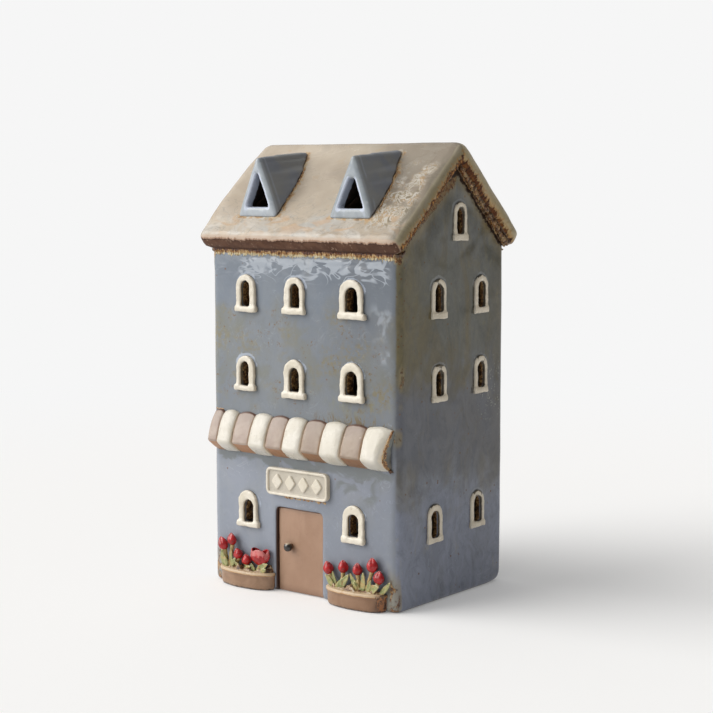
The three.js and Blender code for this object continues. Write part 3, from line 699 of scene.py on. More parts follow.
    # painted shadow in a greenish band right under the awning, and a dark wavy painted reflection to the right of the
    # sign
    front = m.step(m.ny, -0.6, -0.85)
    painted_dark_noise = m.noise(9, 3.0, 0.5, 0.9, stretch=(1.5, 1, 1), shift=29)
    pz = m.add(m.z, m.mul(m.sub(painted_dark_noise, 0.5), 16))
    px = m.add(m.x, m.mul(m.sub(painted_dark_noise, 0.5), 24))
    patch = m.mul(front, m.band(pz, 47, 58, 2.0), m.band(px, 20, 43, 2.5))
    streak = m.mul(front, m.band(pz, 57.0, 62, 1.0), m.band(m.x, -50, 50, 2))
    col = m.mix(m.mul(m.math("MAXIMUM", m.mul(patch, m.step(painted_dark_noise, 0.40, 0.50), 0.75), m.mul(streak, 0.8)), 0.75), col, F(108, 112, 108))
    # ochre and brown drips above the awning, to the right
    drip = m.noise(3.2, 4.0, 0.65, 0.8, stretch=(1, 1, 2.4), shift=57)
    dz = m.band(m.add(m.z, m.mul(m.sub(drip, 0.5), 10)), 80, 92, 2.5)
    col = m.mix(m.mul(front, dz, m.band(m.x, 16, 50, 6), m.step(drip, 0.46, 0.62), 0.45), col, F(132, 130, 108))
    col = m.mix(m.mul(front, m.band(m.add(m.z, m.mul(m.sub(drip, 0.5), 8)), 79, 84, 1.5), m.band(m.x, 8, 50, 4), m.step(drip, 0.52, 0.60), 0.6), col, rgb(122, 98, 60))
    # painted reflections of the light in rippled glaze: pale wavy runs and loops right below the front eave
    wave = m.noise(8.0, 2.5, 0.5, 1.3, stretch=(1.9, 1, 1), shift=23)
    wz = m.add(m.z, m.mul(m.sub(wave, 0.5), 9))
    eave_reflection = m.mul(front, m.band(wz, 144.5, 150.6, 0.35), m.band(m.x, -34, 48, 2), m.step(wave, 0.445, 0.465))
    eave_reflection = m.mul(eave_reflection, m.step(m.noise(4.0, 1.0, 0.5, 0.8, stretch=(1.6, 1, 1), shift=43), 0.36, 0.50))
    loops = m.noise(9.0, 1.0, 0.5, 1.4, stretch=(1.7, 1, 0.8), shift=123)
    eave_reflection = m.math("MAXIMUM", eave_reflection, m.mul(front, m.band(m.z, 140.0, 150, 1.5), m.band(m.x, -36, 48, 2), m.band(loops, 0.482, 0.518, 0.014)))
    # painted highlight: pale patches on the right of the front
    gleam = m.noise(5.0, 2.0, 0.5, 0.2, stretch=(1, 1, 1.2), shift=75)
    eave_reflection = m.math("MAXIMUM", eave_reflection, m.mul(front, m.band(m.x, 39, 50, 2.5), m.math("MAXIMUM", m.band(m.z, 117, 131, 3), m.band(m.z, 107, 112, 1.5)), m.step(gleam, 0.47, 0.66), 0.5))
    col = m.mix(m.mul(eave_reflection, 0.62), col, F(186, 193, 202))
    # burnt crust under the roof: a dark line, then ochre and cream teeth
    deep, along, uf, ub, back = m.slopes()
    below = m.sub(deep, ROOF_T)
    below = m.sub(below, m.mul(m.step(m.z, 160, 186), m.sub(1.0, back), 3.2))
    below = m.sub(below, m.mul(m.step(m.z, 178, 188), back, 0.8))
    sv = m.vec(along, m.mul(below, 0.35), 0.0)
    fv = m.vec(m.x, m.mul(m.z, 0.4), 5.0)
    tooth_s = m.sub(m.noise_at(sv, 1.7, 4, 0.65, 0.3, shift=3), 0.5)
    tooth_f = m.sub(m.noise_at(fv, 1.1, 4, 0.65, 0.3, shift=9), 0.5)
    near_s = m.mul(side, m.step(m.add(below, m.mul(tooth_s, 6.0)), 2.7, 2.1))
    apart = m.mul(m.sub(1.0, back), m.step(m.z, 190, 181), 2.4)
    dark_s = m.mul(side, m.step(m.add(m.sub(m.add(below, m.mul(tooth_s, 5.0)), m.mul(back, 1.4)), apart), 1.2, 0.7))
    top_z = m.sub(m.z, m.mul(tooth_f, 6.0))
    near_f = m.mul(front, m.step(top_z, 150.6, 151.0))
    dark_f = m.mul(front, m.step(top_z, 153.3, 153.7))
    col = m.mix(m.mul(near_s, 0.95), col, m.mix(1.0, crust(m, 1.1, 0, at=sv, light=0.03), (0.50, 0.475, 0.40, 1), "MULTIPLY"))
    col = m.mix(m.mul(dark_s, 0.95), col, rgb(40, 25, 14))
    col = m.mix(near_f, col, fringe(m, tooth_f))
    glow = m.mul(side, m.sub(1.0, near_s), m.step(m.add(below, m.mul(m.sub(mid, 0.5), 7)), 8.0, 1.5))
    col = m.mix(m.mul(glow, 0.5), col, S(104, 92, 66))
    # the same crust in patches up the front corner and by the flower trough
    burn = m.attr("burn")
    teeth = m.noise(2.0, 4.0, 0.65, 0.8, stretch=(1, 1, 1.9), shift=31)
    mask = m.step(m.add(burn, m.mul(m.sub(teeth, 0.5), 1.8)), 0.50, 0.66)
    col = m.mix(m.mul(mask, 0.9), col, m.mix(1.0, crust(m, 1.5, 2), m.mix(side, (1, 1, 1, 1), (0.55, 0.55, 0.55, 1)), "MULTIPLY"))
    warm = m.step(m.add(burn, m.mul(m.sub(mid, 0.5), 0.9)), 0.12, 0.5)
    col = m.mix(m.mul(warm, m.sub(1.0, mask), 0.5), col, m.mix(side, F(158, 148, 118), S(108, 96, 68)))
    # painted shade in the jambs of the doorway, darker in hollows, and a painted shadow along the very foot
    door_jamb_shade = m.mul(m.band(m.x, DOOR[0] - 1.0, DOOR[1] + 0.6, 0.15), m.step(m.z, DOOR[3] + 1.4, DOOR[3] + 0.9), m.band(m.y, -HALF_D + 0.25, -HALF_D + 5, 0.2))
    col = m.mix(m.mul(door_jamb_shade, 0.95), col, rgb(74, 48, 32))
    cav = m.attr("cav")
    col = m.mix(m.mul(m.step(cav, 0.03, 0.16), 0.35), col, m.mix(1.0, col, (0.6, 0.58, 0.55, 1), "MULTIPLY"))
    # painted shadow where the walls meet the floor
    col = m.mix(m.step(m.add(m.z, m.mul(m.sub(fine, 0.5), 1.4)), 0.9, 0.3), col, rgb(66, 54, 46))
    # unglazed clay inside the window holes and the house
    inner = m.attr("inner")
    rough_clay = m.ramp(m.noise(1.3, 4.0, 0.65, 0.4), (0.34, rgb(50, 32, 18)), (0.46, rgb(92, 62, 34)), (0.56, rgb(150, 112, 64)), (0.66, rgb(196, 164, 112)))
    # painted shade: further in, the clay is made near black, except on faces turned to the sides
    rough_clay = m.mix(m.step(m.math("ABSOLUTE", m.x), HALF_W - 0.8, HALF_W - 3.0), rough_clay, m.mix(1.0, rough_clay, m.mix(m.step(m.math("ABSOLUTE", m.nx), 0.7, 0.9), (0.16, 0.14, 0.12, 1), (1, 1, 1, 1)), "MULTIPLY"))
    col = m.mix(inner, col, rough_clay)
    # ripples: strong where the glaze hangs under the eave, gentle elsewhere
    ripple = m.noise(8.0, 1.5, 0.5, 1.0, stretch=(1.8, 1.8, 1), shift=7)
    hang = m.mul(front, m.band(m.z, 139, 152, 4))
    nrm = m.bump(m.mul(ripple, hang), 0.8)
    nrm = m.bump(m.noise(22, 1.0, 0.4, 0.6, shift=4), 0.6, normal=nrm)
    nrm = m.bump(m.noise(2.6, 2.0, 0.5, 0.4, shift=2), 0.02, normal=nrm)
    any_crust = m.math("MAXIMUM", m.math("MAXIMUM", near_s, near_f), mask)
    nrm = m.bump(m.mul(any_crust, m.noise(0.9, 3, 0.6, shift=5)), 0.45, normal=nrm)
    rough = m.add(m.add(0.13, m.mul(any_crust, 0.3)), m.mul(inner, 0.6))
    rough = m.add(rough, m.mul(m.step(mid, 0.45, 0.75), 0.10))
    return m.done(col, rough, nrm)


def make_roof():
    m = Mat("roof_glaze", roughness=0.25, specular=0.36)
    F = lambda *c: rgb(*c, k=1.30)
    S = lambda *c: rgb(*c, k=KS)
    deep, along, uf, ub, back = m.slopes()
    big = m.noise(30, 4.0, 0.55, 0.5)
    streak = m.noise(11, 3.0, 0.5, 0.8, stretch=(1.6, 1, 1), shift=12)
    fine = m.noise(2.2, 4.0, 0.6, 0.4)
    col = m.mix(m.step(big, 0.36, 0.66), F(213, 200, 181), F(197, 182, 163))
    # greyer and browner to the right and towards the ridge
    dim = m.step(m.add(m.x, m.mul(m.sub(big, 0.5), 40)), -22, 46)
    dim = m.mul(dim, m.step(m.add(m.z, m.mul(m.sub(streak, 0.5), 8)), 163, 173, 0.42, 1.0))
    col = m.mix(dim, col, m.mix(1.0, col, (0.60, 0.595, 0.585, 1), "MULTIPLY"))
    col = m.mix(m.mul(m.step(m.z, 180, 196), m.step(m.x, -30, 30)), col, m.mix(1.0, col, (0.87, 0.87, 0.87, 1), "MULTIPLY"))
    col = m.mix(m.mul(m.step(streak, 0.52, 0.76), 0.35), col, F(164, 155, 142))
    col = m.mix(m.mul(m.step(m.noise(9, 4, 0.6, 0.8, shift=44), 0.58, 0.74), 0.45), col, F(196, 166, 126))
    # painted highlight: the lower slope lighter, a sheen near the eave
    low = m.step(m.z, 174, 162)
    col = m.mix(m.mul(low, m.step(m.noise(12, 4, 0.55, 1.0, shift=3), 0.42, 0.58), 0.65), col, F(214, 209, 201))
    drift = m.noise(11, 3, 0.55, 1.4, stretch=(2.2, 1, 1), shift=151)
    col = m.mix(m.mul(m.band(m.x, -22, 22, 6), m.band(m.z, 160, 170, 2.5), m.step(drift, 0.46, 0.54), 0.75), col, F(192, 189, 182))
    swirl = m.noise(10, 3.0, 0.5, 2.6, stretch=(1.9, 1, 1), shift=60)
    col = m.mix(m.mul(m.band(swirl, 0.50, 0.52, 0.012), m.step(m.z, 182, 172), 0.5), col, F(146, 143, 137))
    col = m.mix(m.mul(m.step(fine, 0.58, 0.74), 0.2), col, F(216, 208, 196))
    # ochre and grey gathered before and beside the dormers
    near = m.attr("near_dormer")
    folds = m.noise(3.4, 3, 0.55, 0.8, shift=8)
    mask = m.step(m.add(near, m.mul(m.sub(m.noise(5.0, 3, 0.55, 0.8, shift=88), 0.5), 1.5)), 0.40, 0.75)
    gather = m.ramp(folds, (0.34, F(142, 112, 78)), (0.44, F(190, 148, 98)), (0.52, F(206, 184, 148)), (0.58, F(172, 164, 150)), (0.66, F(212, 206, 194)))
    col = m.mix(m.mul(mask, 0.85), col, gather)
    # glaze in pale and ochre waves between the right dormer and the gable
    wx = m.add(m.x, m.mul(m.sub(big, 0.5), 14))
    patch = m.mul(m.band(wx, 37, 54, 1.5), m.band(m.z, 165, 191, 3), m.sub(1.0, back))
    wv = m.vec(m.add(m.mul(m.x, 0.9), m.mul(m.z, 0.35)), m.mul(m.y, 0.35), m.mul(m.z, 1.1))
    waves = m.noise_at(wv, 4.6, 3, 0.6, 1.6, shift=52)
    col = m.mix(m.mul(patch, m.step(m.noise(7, 2, 0.5, shift=92), 0.38, 0.52), 0.85), col, m.ramp(waves, (0.36, F(142, 130, 108)), (0.42, F(198, 184, 160)), (0.46, F(226, 222, 213)), (0.51, F(206, 196, 180)), (0.545, F(156, 144, 124)), (0.58, F(196, 160, 110)), (0.63, F(220, 214, 204)), (0.70, F(156, 148, 134))))
    # pinkish and ochre clouds low on the slope, near the dormers
    pink = m.mul(m.band(m.z, 161, 171, 2.5), m.step(m.noise(8, 3, 0.55, 0.8, stretch=(1.8, 1, 1), shift=31), 0.54, 0.64))
    col = m.mix(m.mul(pink, 0.6), col, F(206, 172, 136))
    col = m.mix(m.mul(m.step(m.x, 50.5, 54.5), m.step(m.noise(9, 3, 0.6, 0.8, stretch=(1, 2, 2), shift=87), 0.36, 0.56), 0.8), col, F(138, 130, 114))
    # gable faces: grey along the outer edge, olive-brown, ochre, then dark and toothed inside
    end = m.step(m.math("ABSOLUTE", m.nx), 0.30, 0.62)
    sv = m.vec(along, m.mul(deep, 0.35), 0.0)
    tooth = m.sub(m.noise_at(sv, 1.7, 4, 0.65, 0.4, shift=15), 0.5)
    slow = m.sub(m.noise_at(sv, 7.0, 3, 0.6, 0.8, shift=4), 0.5)
    dd = m.add(deep, m.mul(slow, 3.0))
    face = m.ramp(
        m.math("DIVIDE", dd, 10.0),
        (0.0, S(132, 124, 108)), (0.12, S(120, 112, 94)), (0.22, S(110, 102, 83)), (0.36, S(110, 99, 74)), (0.55, S(114, 96, 62)), (0.72, S(112, 84, 46)), (1.0, S(88, 58, 28)),
    )
    face = m.mix(m.mul(m.step(m.noise(5, 4, 0.6, 1.0, stretch=(1, 2, 2), shift=26), 0.55, 0.7), 0.4), face, S(112, 106, 96))
    face = m.mix(m.mul(back, 0.7), face, m.mix(1.0, face, (1.35, 1.30, 1.22, 1), "MULTIPLY"))
    face = m.mix(m.sub(1.0, back), face, m.mix(1.0, face, (0.93, 0.93, 0.925, 1), "MULTIPLY"))
    edge = m.sub(m.add(m.add(deep, 0.9), m.mul(back, -0.2)), m.mul(tooth, 9.0))
    edge = m.add(edge, m.mul(m.step(m.z, 174, 190), 0.9))
    face = m.mix(m.step(edge, 6.3, 6.6), face, m.ramp(m.noise_at(sv, 1.2, 4, 0.65, 0.3, shift=25), (0.36, rgb(56, 28, 9)), (0.50, rgb(102, 55, 19)), (0.60, rgb(126, 76, 26)), (0.70, rgb(146, 104, 50))))
    face = m.mix(m.mul(m.band(edge, 4.9, 6.3, 0.2), m.step(m.noise(1.3, 3, 0.6, shift=18), 0.44, 0.54), 0.75), face, S(118, 84, 42))
    face = m.mix(m.mul(m.sub(1.0, back), m.step(edge, 7.0, 7.6), m.step(m.noise_at(sv, 0.9, 4, 0.65, 0.3, shift=65), 0.50, 0.58), 0.9), face, S(146, 104, 52))
    col = m.mix(end, col, face)
    # undersides: dark clay with ochre specks
    turned_in = m.mul(m.step(deep, 4.2, 5.0), m.step(m.math("MINIMUM", uf, m.mul(ub, 3.0)), 3.0, 4.0), m.sub(1.0, end))
    under = m.math("MAXIMUM", m.step(deep, ROOF_T - 0.9, ROOF_T - 0.3), turned_in)
    dark = m.ramp(m.noise(1.6, 4, 0.65, 0.5, shift=77), (0.36, rgb(42, 24, 12)), (0.5, rgb(74, 44, 22)), (0.62, rgb(120, 82, 44)))
    col = m.mix(under, col, dark)
    # square-cut eaves: matte brown clay under a jagged, thick edge of glaze
    cut_f = m.mul(m.step(uf, 2.5, 1.2), m.step(m.add(m.mul(m.ny, UP[0]), m.mul(m.nz, UP[1])), -0.55, -0.80))
    cut_b = m.mul(m.step(ub, 2.5, 1.2), m.step(m.add(m.mul(m.ny, DOWN[0]), m.mul(m.nz, DOWN[1])), 0.55, 0.80))
    cut = m.math("MAXIMUM", cut_f, cut_b)
    ev = m.vec(m.x, m.mul(deep, 0.4), 3.0)
    jag = m.sub(m.noise_at(ev, 1.8, 4, 0.65, 0.4, shift=51), 0.5)
    lip = m.add(deep, m.mul(jag, 3.0))
    col = m.mix(m.mul(m.math("MAXIMUM", m.step(uf, 1.6, 0.6), m.step(ub, 1.6, 0.6)), 0.7), col, F(208, 182, 160))
    bare = m.mul(cut, m.step(lip, 1.7, 2.0))
    clay = m.mix(m.step(m.noise(5, 4, 0.6, 0.5), 0.4, 0.6), rgb(94, 62, 44, k=1.4), rgb(112, 78, 58, k=1.4))
    clay = m.mix(m.mul(m.step(m.x, 10, 50), 0.5), clay, rgb(78, 46, 30, k=1.4))
    clay = m.mix(m.step(m.noise_at(ev, 1.2, 4, 0.65, 0.2, shift=8), 0.60, 0.70), clay, rgb(176, 146, 122, k=KF))
    col = m.mix(bare, col, clay)
    col = m.mix(m.mul(cut, m.band(lip, 1.35, 1.8, 0.15), 0.8), col, rgb(150, 112, 86, k=KF))
    # painted shadow: a dark line along the lower edge of the bare cut face
    col = m.mix(m.mul(bare, m.step(deep, 6.0, 7.2), 0.7), col, rgb(66, 38, 22, k=KF))
    # painted shade: the roof's inside, seen through the dormer holes, dark brown
    col = m.mix(m.attr("inner"), col, rgb(58, 40, 28))
    cav = m.attr("cav")
    col = m.mix(m.mul(m.step(cav, 0.03, 0.16), 0.4), col, m.mix(1.0, col, (0.6, 0.55, 0.48, 1), "MULTIPLY"))
    nrm = m.bump(m.noise(18, 1.0, 0.4, 0.6, shift=7), 0.5)
    nrm = m.bump(m.mul(m.noise(6, 1.5, 0.5, 1.0, stretch=(1.5, 1, 1), shift=8), low), 0.35, normal=nrm)
    nrm = m.bump(m.noise(2.4, 2.0, 0.5, 0.4, shift=2), 0.02, normal=nrm)
    nrm = m.bump(m.mul(cut, m.step(lip, 2.5, 2.1)), 0.5, normal=nrm)
    nrm = m.bump(m.mul(m.math("MAXIMUM", m.mul(end, m.step(edge, 5.8, 7.0)), under), m.noise(1.0, 3, 0.6, shift=5)), 0.5, normal=nrm)
    matte = m.math("MAXIMUM", m.math("MAXIMUM", m.math("MAXIMUM", bare, under), m.mul(end, m.step(edge, 6.2, 6.8))), m.mul(m.math("MAXIMUM", m.step(uf, 2.4, 0.8), m.step(ub, 2.4, 0.8)), 0.6))
    rough = m.add(m.add(0.20, m.mul(matte, 0.55)), m.mul(m.attr("inner"), 0.4))
    rough = m.add(rough, m.mul(m.step(streak, 0.4, 0.7), 0.15))
    return m.done(col, rough, nrm)


def make_dormer():
    m = Mat("dormer_glaze", roughness=0.22)
    F = lambda *c: rgb(*c, k=KF)
    S = lambda *c: rgb(*c, k=KS)
    big = m.noise(14, 4.0, 0.55, 0.5)
    mid = m.noise(5, 4.0, 0.6, 0.8, shift=9)
    panel = m.mix(m.step(big, 0.4, 0.6), S(90, 93, 99), S(96, 97, 97))
    panel = m.mix(m.mul(m.step(mid, 0.5, 0.72), 0.35), panel, S(88, 93, 99))
    # painted highlight: a pale strip a little behind the face
    panel = m.mix(m.mul(m.band(m.y, -34.9, -34.0, 0.5), m.step(m.noise(9, 2, 0.5, shift=3), 0.36, 0.55), 0.5), panel, S(112, 118, 124))
    rim = m.mix(m.step(mid, 0.4, 0.65), F(170, 177, 183), F(158, 166, 174))
    rim = m.mix(m.step(m.x, -10, 10), rim, m.mix(1.0, rim, (0.86, 0.86, 0.85, 1), "MULTIPLY"))
    rim = m.mix(m.mul(m.step(m.noise(2.0, 3, 0.6), 0.58, 0.75), 0.3), rim, F(196, 200, 206))
    facing = m.step(m.y, -35.8, -36.7)
    col = m.mix(m.math("MAXIMUM", m.mul(m.step(m.ny, -0.35, -0.7), facing), m.mul(facing, 0.35)), panel, rim)
    # jambs of the opening: blue-grey in front, a darker blue-grey on faces turned down as painted shade; further in,
    # painted shade in near black and dark brown
    off = m.sub(m.math("ABSOLUTE", m.x), 27.2)
    inward = m.mul(m.mul(off, m.mul(m.nx, m.math("SIGN", m.x))), -1.0)
    sillish = m.mul(m.step(m.nz, 0.5, 0.8), m.step(m.z, 174.5, 173.5))
    inside = m.math("MAXIMUM", m.step(inward, 0.0, 0.3), sillish)
    col = m.mix(m.mul(inside, 0.9), col, m.mix(m.step(m.nz, -0.2, -0.5), F(196, 204, 220), F(158, 166, 182)))
    col = m.mix(m.mul(inside, m.step(m.add(m.y, m.mul(m.sub(mid, 0.5), 2.0)), -34.6, -33.8)), col, m.ramp(m.noise(1.6, 4, 0.6), (0.38, rgb(14, 9, 6)), (0.6, rgb(38, 24, 14)), (0.7, rgb(90, 58, 34))))
    # burnt line along the roof
    foot = m.sub(m.mul(m.slopes()[0], -1.0), 0.0)
    tooth = m.sub(m.noise(1.6, 4.0, 0.65, 0.8, shift=31), 0.5)
    out = m.sub(1.0, inside)
    line = m.mul(out, m.step(m.add(foot, m.mul(tooth, 2.0)), 1.0, 0.5), m.step(m.y, -37.2, -36.6))
    col = m.mix(m.mul(line, 0.9), col, rgb(60, 34, 16))
    nrm = m.bump(m.noise(12, 1.0, 0.4, 0.6, shift=7), 0.3)
    nrm = m.bump(m.noise(2.0, 2.0, 0.5, 0.4), 0.02, normal=nrm)
    return m.done(col, m.add(m.add(0.22, m.mul(line, 0.3)), m.mul(inside, 0.35)), nrm)


def make_cream(name="cream_glaze", front=(233, 225, 209), k=1.24):
    m = Mat(name, roughness=0.22)
    F = lambda *c: rgb(*c, k=k)
    S = lambda *c: rgb(*c, k=0.53)
    side = m.step(m.math("ABSOLUTE", m.nx), 0.62, 0.82)
    r, g, b = front
    a = m.mix(side, F(r, g, b), S(166, 157, 141))
    c = m.mix(side, F(r - 9, g - 10, b - 13), S(156, 147, 131))
    col = m.mix(m.step(m.noise(9, 2, 0.5, 0.6), 0.36, 0.66), a, c)
    col = m.mix(m.mul(m.step(m.noise(2.0, 4, 0.6, 0.4, shift=4), 0.62, 0.78), 0.25), col, m.mix(side, F(200, 186, 160), S(140, 126, 100)))
    # grey-brown in the hollows, ochre specks
    cav = m.attr("cav")
    col = m.mix(m.mul(m.step(cav, 0.015, 0.11), 0.7), col, m.mix(side, F(176, 164, 144), S(118, 108, 90)))
    spot = m.cells(4.2, shift=6)
    col = m.mix(m.mul(m.step(spot, 0.11, 0.05), m.step(m.noise(7, 2, 0.5, shift=2), 0.50, 0.62), 0.7), col, rgb(150, 112, 70))
    # painted shade: the sign's sunk field a little darker
    sunk = m.attr("sunk")
    col = m.mix(m.mul(m.step(m.add(sunk, m.mul(m.sub(m.noise(1.6, 3, 0.6, shift=8), 0.5), 0.8)), 0.35, 0.75), 0.75), col, F(190, 182, 168))
    over = m.add(m.attr("endface"), m.mul(m.sub(m.noise(1.3, 3, 0.6, 0.4, shift=33), 0.5), 0.4))
    col = m.mix(m.step(over, 0.45, 0.52), col, m.mix(m.step(m.z, 63, 72), rgb(70, 66, 58, k=0.62), rgb(92, 94, 90, k=0.62)))
    col = m.mix(m.band(over, 0.30, 0.54, 0.04), col, crust(m, 1.2, 17))
    foot = m.attr("foot")
    grit = m.noise(1.2, 4, 0.65, 0.5, shift=13)
    col = m.mix(m.mul(m.step(m.add(foot, m.mul(m.sub(grit, 0.5), 1.2)), 0.5, 0.75), 0.85), col, crust(m, 1.2, 17))
    inner = m.attr("inner")
    col = m.mix(m.mul(m.step(m.add(inner, m.mul(m.sub(grit, 0.5), 0.8)), 0.4, 0.7), 0.9), col, m.mix(m.step(m.math("ABSOLUTE", m.x), HALF_W - 0.6, HALF_W - 0.2), m.mix(m.step(grit, 0.42, 0.58), rgb(88, 70, 42), rgb(150, 122, 80)), rgb(70, 60, 38)))
    nrm = m.bump(m.noise(4.5, 2.0, 0.5, 0.6), 0.3)
    nrm = m.bump(m.noise(1.3, 2.0, 0.5), 0.03, normal=nrm)
    return m.done(col, m.add(0.18, m.mul(m.noise(5, 3, 0.5), 0.2)), nrm)


def make_mauve():
    m = Mat("mauve_glaze", roughness=0.34)
    F = lambda *c: rgb(*c, k=1.45)
    col = m.mix(m.step(m.noise(8, 3, 0.5, 0.5), 0.4, 0.62), F(196, 176, 161), F(184, 162, 148))
    col = m.mix(m.mul(m.step(m.noise(3.0, 4, 0.6, 0.8, stretch=(1, 1, 2)), 0.55, 0.72), 0.4), col, F(174, 150, 132))
    # painted shade: darker towards the right, on the face and on the turned-under face
    shade = m.step(m.x, -36, 18)
    col = m.mix(shade, col, m.mix(1.0, col, (0.735, 0.705, 0.625, 1), "MULTIPLY"))
    # greyer towards the top, thinner and redder on the turned-under lower face
    col = m.mix(m.mul(m.step(m.z, 72, 78), 0.35), col, F(178, 162, 152))
    under = m.attr("under")
    col = m.mix(m.step(m.add(under, m.mul(m.sub(m.noise(2.2, 3, 0.6), 0.5), 0.3)), 0.35, 0.6), col, m.mix(shade, rgb(178, 128, 88, k=1.2), rgb(148, 106, 72, k=1.2)))
    edge = m.attr("edge")
    col = m.mix(m.mul(m.step(m.add(edge, m.mul(m.sub(m.noise(2.0, 3, 0.6, shift=5), 0.5), 0.5)), 0.35, 0.8), 0.9), col, m.mix(m.step(m.z, 77.5, 76.0), rgb(92, 54, 34), rgb(150, 104, 66)))
    cav = m.attr("cav")
    col = m.mix(m.mul(m.step(cav, -0.03, -0.16), 0.5), col, F(204, 168, 138))
    spot = m.cells(4.5, shift=8)
    col = m.mix(m.mul(m.step(spot, 0.11, 0.05), m.step(m.noise(7, 2, 0.5, shift=2), 0.46, 0.60), 0.7), col, F(222, 202, 182))
    nrm = m.bump(m.noise(5, 2.5, 0.5, 0.6), 0.3)
    nrm = m.bump(m.noise(1.3, 3.0, 0.55), 0.05, normal=nrm)
    return m.done(col, m.add(0.30, m.mul(m.noise(4, 3, 0.5, shift=9), 0.2)), nrm)


def make_door():
    m = Mat("door_stain", roughness=0.45, coat=0.12, coat_rough=0.25)
    col = m.mix(m.step(m.noise(12, 3, 0.5, 0.4, stretch=(1, 1, 2)), 0.4, 0.62), rgb(178, 142, 116), rgb(166, 130, 104))
    col = m.mix(m.mul(m.step(m.noise(2.5, 4, 0.6, 0.4), 0.55, 0.75), 0.3), col, rgb(152, 116, 92))
    spot = m.cells(8.0, shift=14)
    col = m.mix(m.mul(m.step(spot, 0.07, 0.035), m.step(m.noise(13, 2, 0.5, shift=2), 0.46, 0.58), 0.8), col, rgb(226, 206, 186))
    # painted shade: darker towards the foot, by the floor
    col = m.mix(m.mul(m.step(m.z, 4.5, 0.5), 0.5), col, rgb(118, 82, 60))
    cav = m.attr("cav")
    col = m.mix(m.mul(m.step(cav, -0.03, -0.14), 0.6), col, rgb(150, 104, 74))
    nrm = m.bump(m.noise(9, 2.5, 0.5, 0.6), 0.3)
    nrm = m.bump(m.noise(1.4, 3.0, 0.6), 0.05, normal=nrm)
    return m.done(col, m.add(0.38, m.mul(m.noise(6, 3, 0.5, shift=9), 0.2)), nrm)


def make_pot():
    m = Mat("pot_stain", roughness=0.36)
    col = m.mix(m.step(m.noise(9, 3, 0.5, 0.6), 0.4, 0.62), rgb(164, 131, 104), rgb(150, 117, 90))
    col = m.mix(m.mul(m.step(m.noise(3.0, 4, 0.6, 0.8), 0.55, 0.72), 0.4), col, rgb(136, 102, 76))
    col = m.mix(m.mul(m.step(m.x, 12, 44), 0.55), col, rgb(136, 98, 70))
    # thick glaze along the rim: cream in the middle, partly a painted highlight along the top, ochre where it runs off
    lip = m.attr("lip")
    run = m.noise(3.0, 3, 0.6, 0.6, shift=3)
    col = m.mix(m.mul(m.step(m.add(lip, m.mul(m.sub(run, 0.5), 1.4)), 0.30, 0.5), 0.9), col, rgb(196, 146, 88))
    col = m.mix(m.mul(m.step(m.add(lip, m.mul(m.sub(run, 0.5), 1.4)), 0.55, 0.8), 0.9), col, rgb(214, 190, 158))
    foot = m.attr("foot")
    grit = m.noise(1.6, 4, 0.65, 0.5, shift=13)
    col = m.mix(m.mul(m.step(m.add(foot, m.mul(m.sub(grit, 0.5), 0.9)), 0.45, 0.8), 0.85), col, rgb(84, 54, 34))
    # burnt at the outer end, and a painted shadow along the ground
    endm = m.mul(m.step(m.x, 42, 47.5), m.step(m.add(m.z, m.mul(m.sub(grit, 0.5), 6)), 6.0, 2.0))
    col = m.mix(m.mul(endm, 0.8), col, rgb(74, 42, 24))
    char = m.step(m.add(m.x, m.mul(m.sub(m.noise(1.8, 4, 0.65, 0.4, stretch=(1, 1, 2.5), shift=28), 0.5), 9)), 45.2, 46.4)
    col = m.mix(m.mul(char, 0.85), col, m.mix(m.step(grit, 0.46, 0.56), rgb(70, 40, 20), rgb(172, 108, 54)))
    col = m.mix(m.step(m.add(m.z, m.mul(m.sub(grit, 0.5), 2.2)), 1.2, 0.3), col, rgb(66, 48, 38))
    nrm = m.bump(m.noise(5, 2.0, 0.5, 0.6), 0.3)
    nrm = m.bump(m.noise(1.3, 2.0, 0.5), 0.04, normal=nrm)
    return m.done(col, m.add(0.30, m.mul(m.noise(5, 3, 0.5), 0.2)), nrm)


def make_red():
    m = Mat("red_glaze", roughness=0.16)
    col = m.mix(m.step(m.noise(2.2, 3, 0.5, 0.5), 0.4, 0.62), rgb(196, 38, 40), rgb(156, 20, 24))
    cav = m.attr("cav")
    col = m.mix(m.mul(m.step(cav, 0.01, 0.08), 0.8), col, rgb(96, 8, 14))
    # painted highlight: pale pink at the tips
    tip = m.attr("tip")
    pale = m.step(m.add(tip, m.mul(m.sub(m.noise(1.4, 3, 0.6), 0.5), 0.9)), 0.82, 1.02)
    col = m.mix(m.mul(pale, 0.7), col, rgb(226, 142, 138))
    nrm = m.bump(m.noise(1.8, 2.0, 0.5, 0.6), 0.12)
    return m.done(col, m.add(0.10, m.mul(m.noise(2, 3, 0.5), 0.14)), nrm)


def make_green():
    m = Mat("green_glaze", roughness=0.3, coat=0.35, coat_rough=0.1)
    n = m.noise(2.6, 4, 0.6, 0.5)
    col = m.ramp(n, (0.32, rgb(104, 108, 56)), (0.42, rgb(142, 148, 88)), (0.51, rgb(168, 170, 112)), (0.58, rgb(186, 172, 112)), (0.68, rgb(190, 152, 92)))
    ochre = m.attr("ochre")
    col = m.mix(m.mul(m.step(m.add(ochre, m.mul(m.sub(n, 0.5), 1.4)), 0.35, 0.7), 0.85), col, rgb(184, 150, 92))
    cav = m.attr("cav")
    col = m.mix(m.mul(m.step(cav, 0.01, 0.09), 0.7), col, rgb(96, 70, 40))
    col = m.mix(m.mul(m.step(cav, -0.02, -0.10), 0.5), col, rgb(206, 192, 148))
    nrm = m.bump(m.noise(1.4, 2.5, 0.5, 0.6), 0.10)
    return m.done(col, m.add(0.24, m.mul(m.noise(2, 3, 0.5), 0.15)), nrm)


